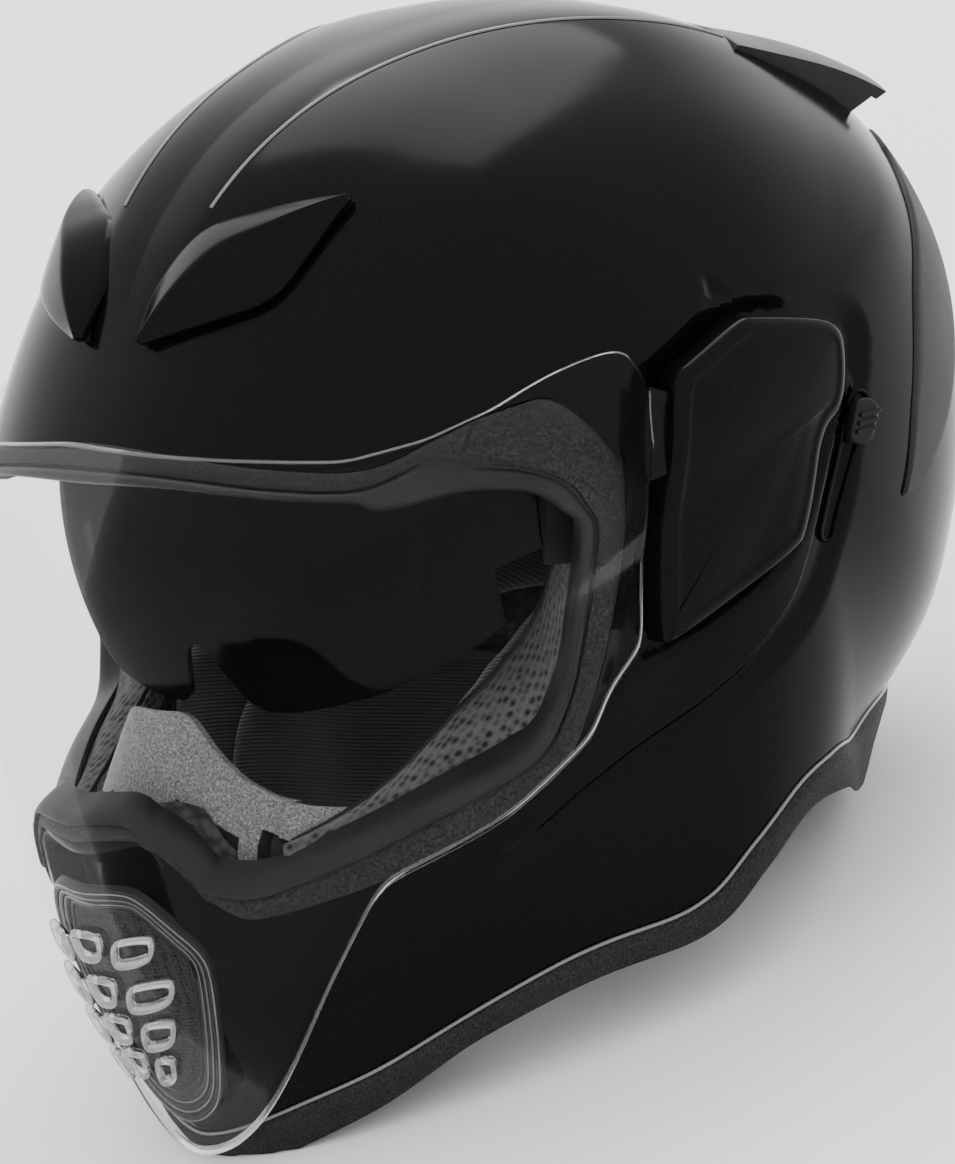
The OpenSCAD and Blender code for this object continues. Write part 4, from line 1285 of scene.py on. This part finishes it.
# ---------------------------------------------------------------- carried-over CAD nodes
CARRIED = {
    "eps_liner": FOAM, "chin_foam": FOAM, "chin_vent_shutter": SATIN,
    "pivot_base_left": DULL, "pivot_base_right": DULL, "shield_arm_left": GLOSS, "shield_arm_right": GLOSS,
    "sun_arm_left": SATIN, "sun_arm_right": SATIN, "sun_bracket_left": DULL, "sun_bracket_right": DULL,
    "vent_base_left": SATIN, "vent_base_right": SATIN,
    "strap_anchors": STEEL, "d_ring_outer": STEEL, "d_ring_inner": STEEL,
}
for name, mat in CARRIED.items():
    node = NODES[name]
    node.data.materials.clear()
    node.data.materials.append(mat)


def build_strap(tag, side):
    """Woven strap: the same run as its solid, with bevelled selvedges."""
    node = "strap_" + tag
    o = cad_copy(node + "_webbing", node)
    b = o.modifiers.new("edge", "BEVEL")
    b.width = 0.0005
    b.segments = 2
    apply_all(o)
    o.data.materials.append(WEB)
    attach(o, "helmet")
    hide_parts(node)


sides_of(build_strap)

# ---------------------------------------------------------------- stage, light and camera
floor_m, floor_t, floor_b = material("pale_floor", Roughness=0.9, Specular_IOR_Level=0.1)
floor_n = put(floor_t, "ShaderNodeTexNoise", place(floor_t), Scale=1.4, Detail=3.0)
floor_t.links.new(ramp(floor_t, floor_n.outputs["Fac"], [(0.3, 0.86), (0.7, 0.88)]), floor_b.inputs["Base Color"])
floor_me = bpy.data.meshes.new("floor")
F = 9.0
floor_me.from_pydata([(-F, -F, 0), (F, -F, 0), (F, F, 0), (-F, F, 0)], [], [(0, 1, 2, 3)])
floor_me.materials.append(floor_m)
floor = bpy.data.objects.new("floor", floor_me)
floor.location.z = -0.0004
bpy.context.scene.collection.objects.link(floor)

world = bpy.data.worlds.new("studio")
bpy.context.scene.world = world
world.use_nodes = True
bg = world.node_tree.nodes["Background"]
bg.inputs["Color"].default_value = (1, 1, 1, 1)
bg.inputs["Strength"].default_value = 2.0

TILT_M = Matrix.Rotation(-TILT, 3, "X")


def softbox(name, away, size, power, aim_at=(0, 0, 0.13)):
    """An area light, placed in the row frame and turned to the helmet."""
    l = bpy.data.lights.new(name, "AREA")
    l.shape = "RECTANGLE"
    l.size, l.size_y = size
    l.energy = power
    o = bpy.data.objects.new(name, l)
    bpy.context.scene.collection.objects.link(o)
    o.location = away
    o.rotation_mode = "QUATERNION"
    o.rotation_quaternion = (Vector(aim_at) - Vector(away)).to_track_quat("-Z", "Y")
    return o


softbox("top", (-0.5, 0.9, 1.6), (1.2, 1.2), 26)

AZ, EL = math.radians(46.84), math.radians(5.29)
AWAY = Vector((math.sin(AZ) * math.cos(EL), -math.cos(AZ) * math.cos(EL), math.sin(EL)))
RIGHT = Vector((math.cos(AZ), math.sin(AZ), 0))
UP = AWAY.cross(RIGHT)
TARGET = Vector((0, -5.5, -59.3))
DISTANCE = 1500.0
cam_data = bpy.data.cameras.new("camera")
cam_data.sensor_width = 36.0
cam_data.lens = 157.7
cam = bpy.data.objects.new("camera", cam_data)
bpy.context.scene.collection.objects.link(cam)
bpy.context.scene.camera = cam
axes = Matrix((TILT_M @ RIGHT, TILT_M @ UP, TILT_M @ AWAY)).transposed()
cam.rotation_mode = "QUATERNION"
cam.rotation_quaternion = axes.to_quaternion()
cam.location = Vector(stand(np.array(TARGET + AWAY * DISTANCE)))
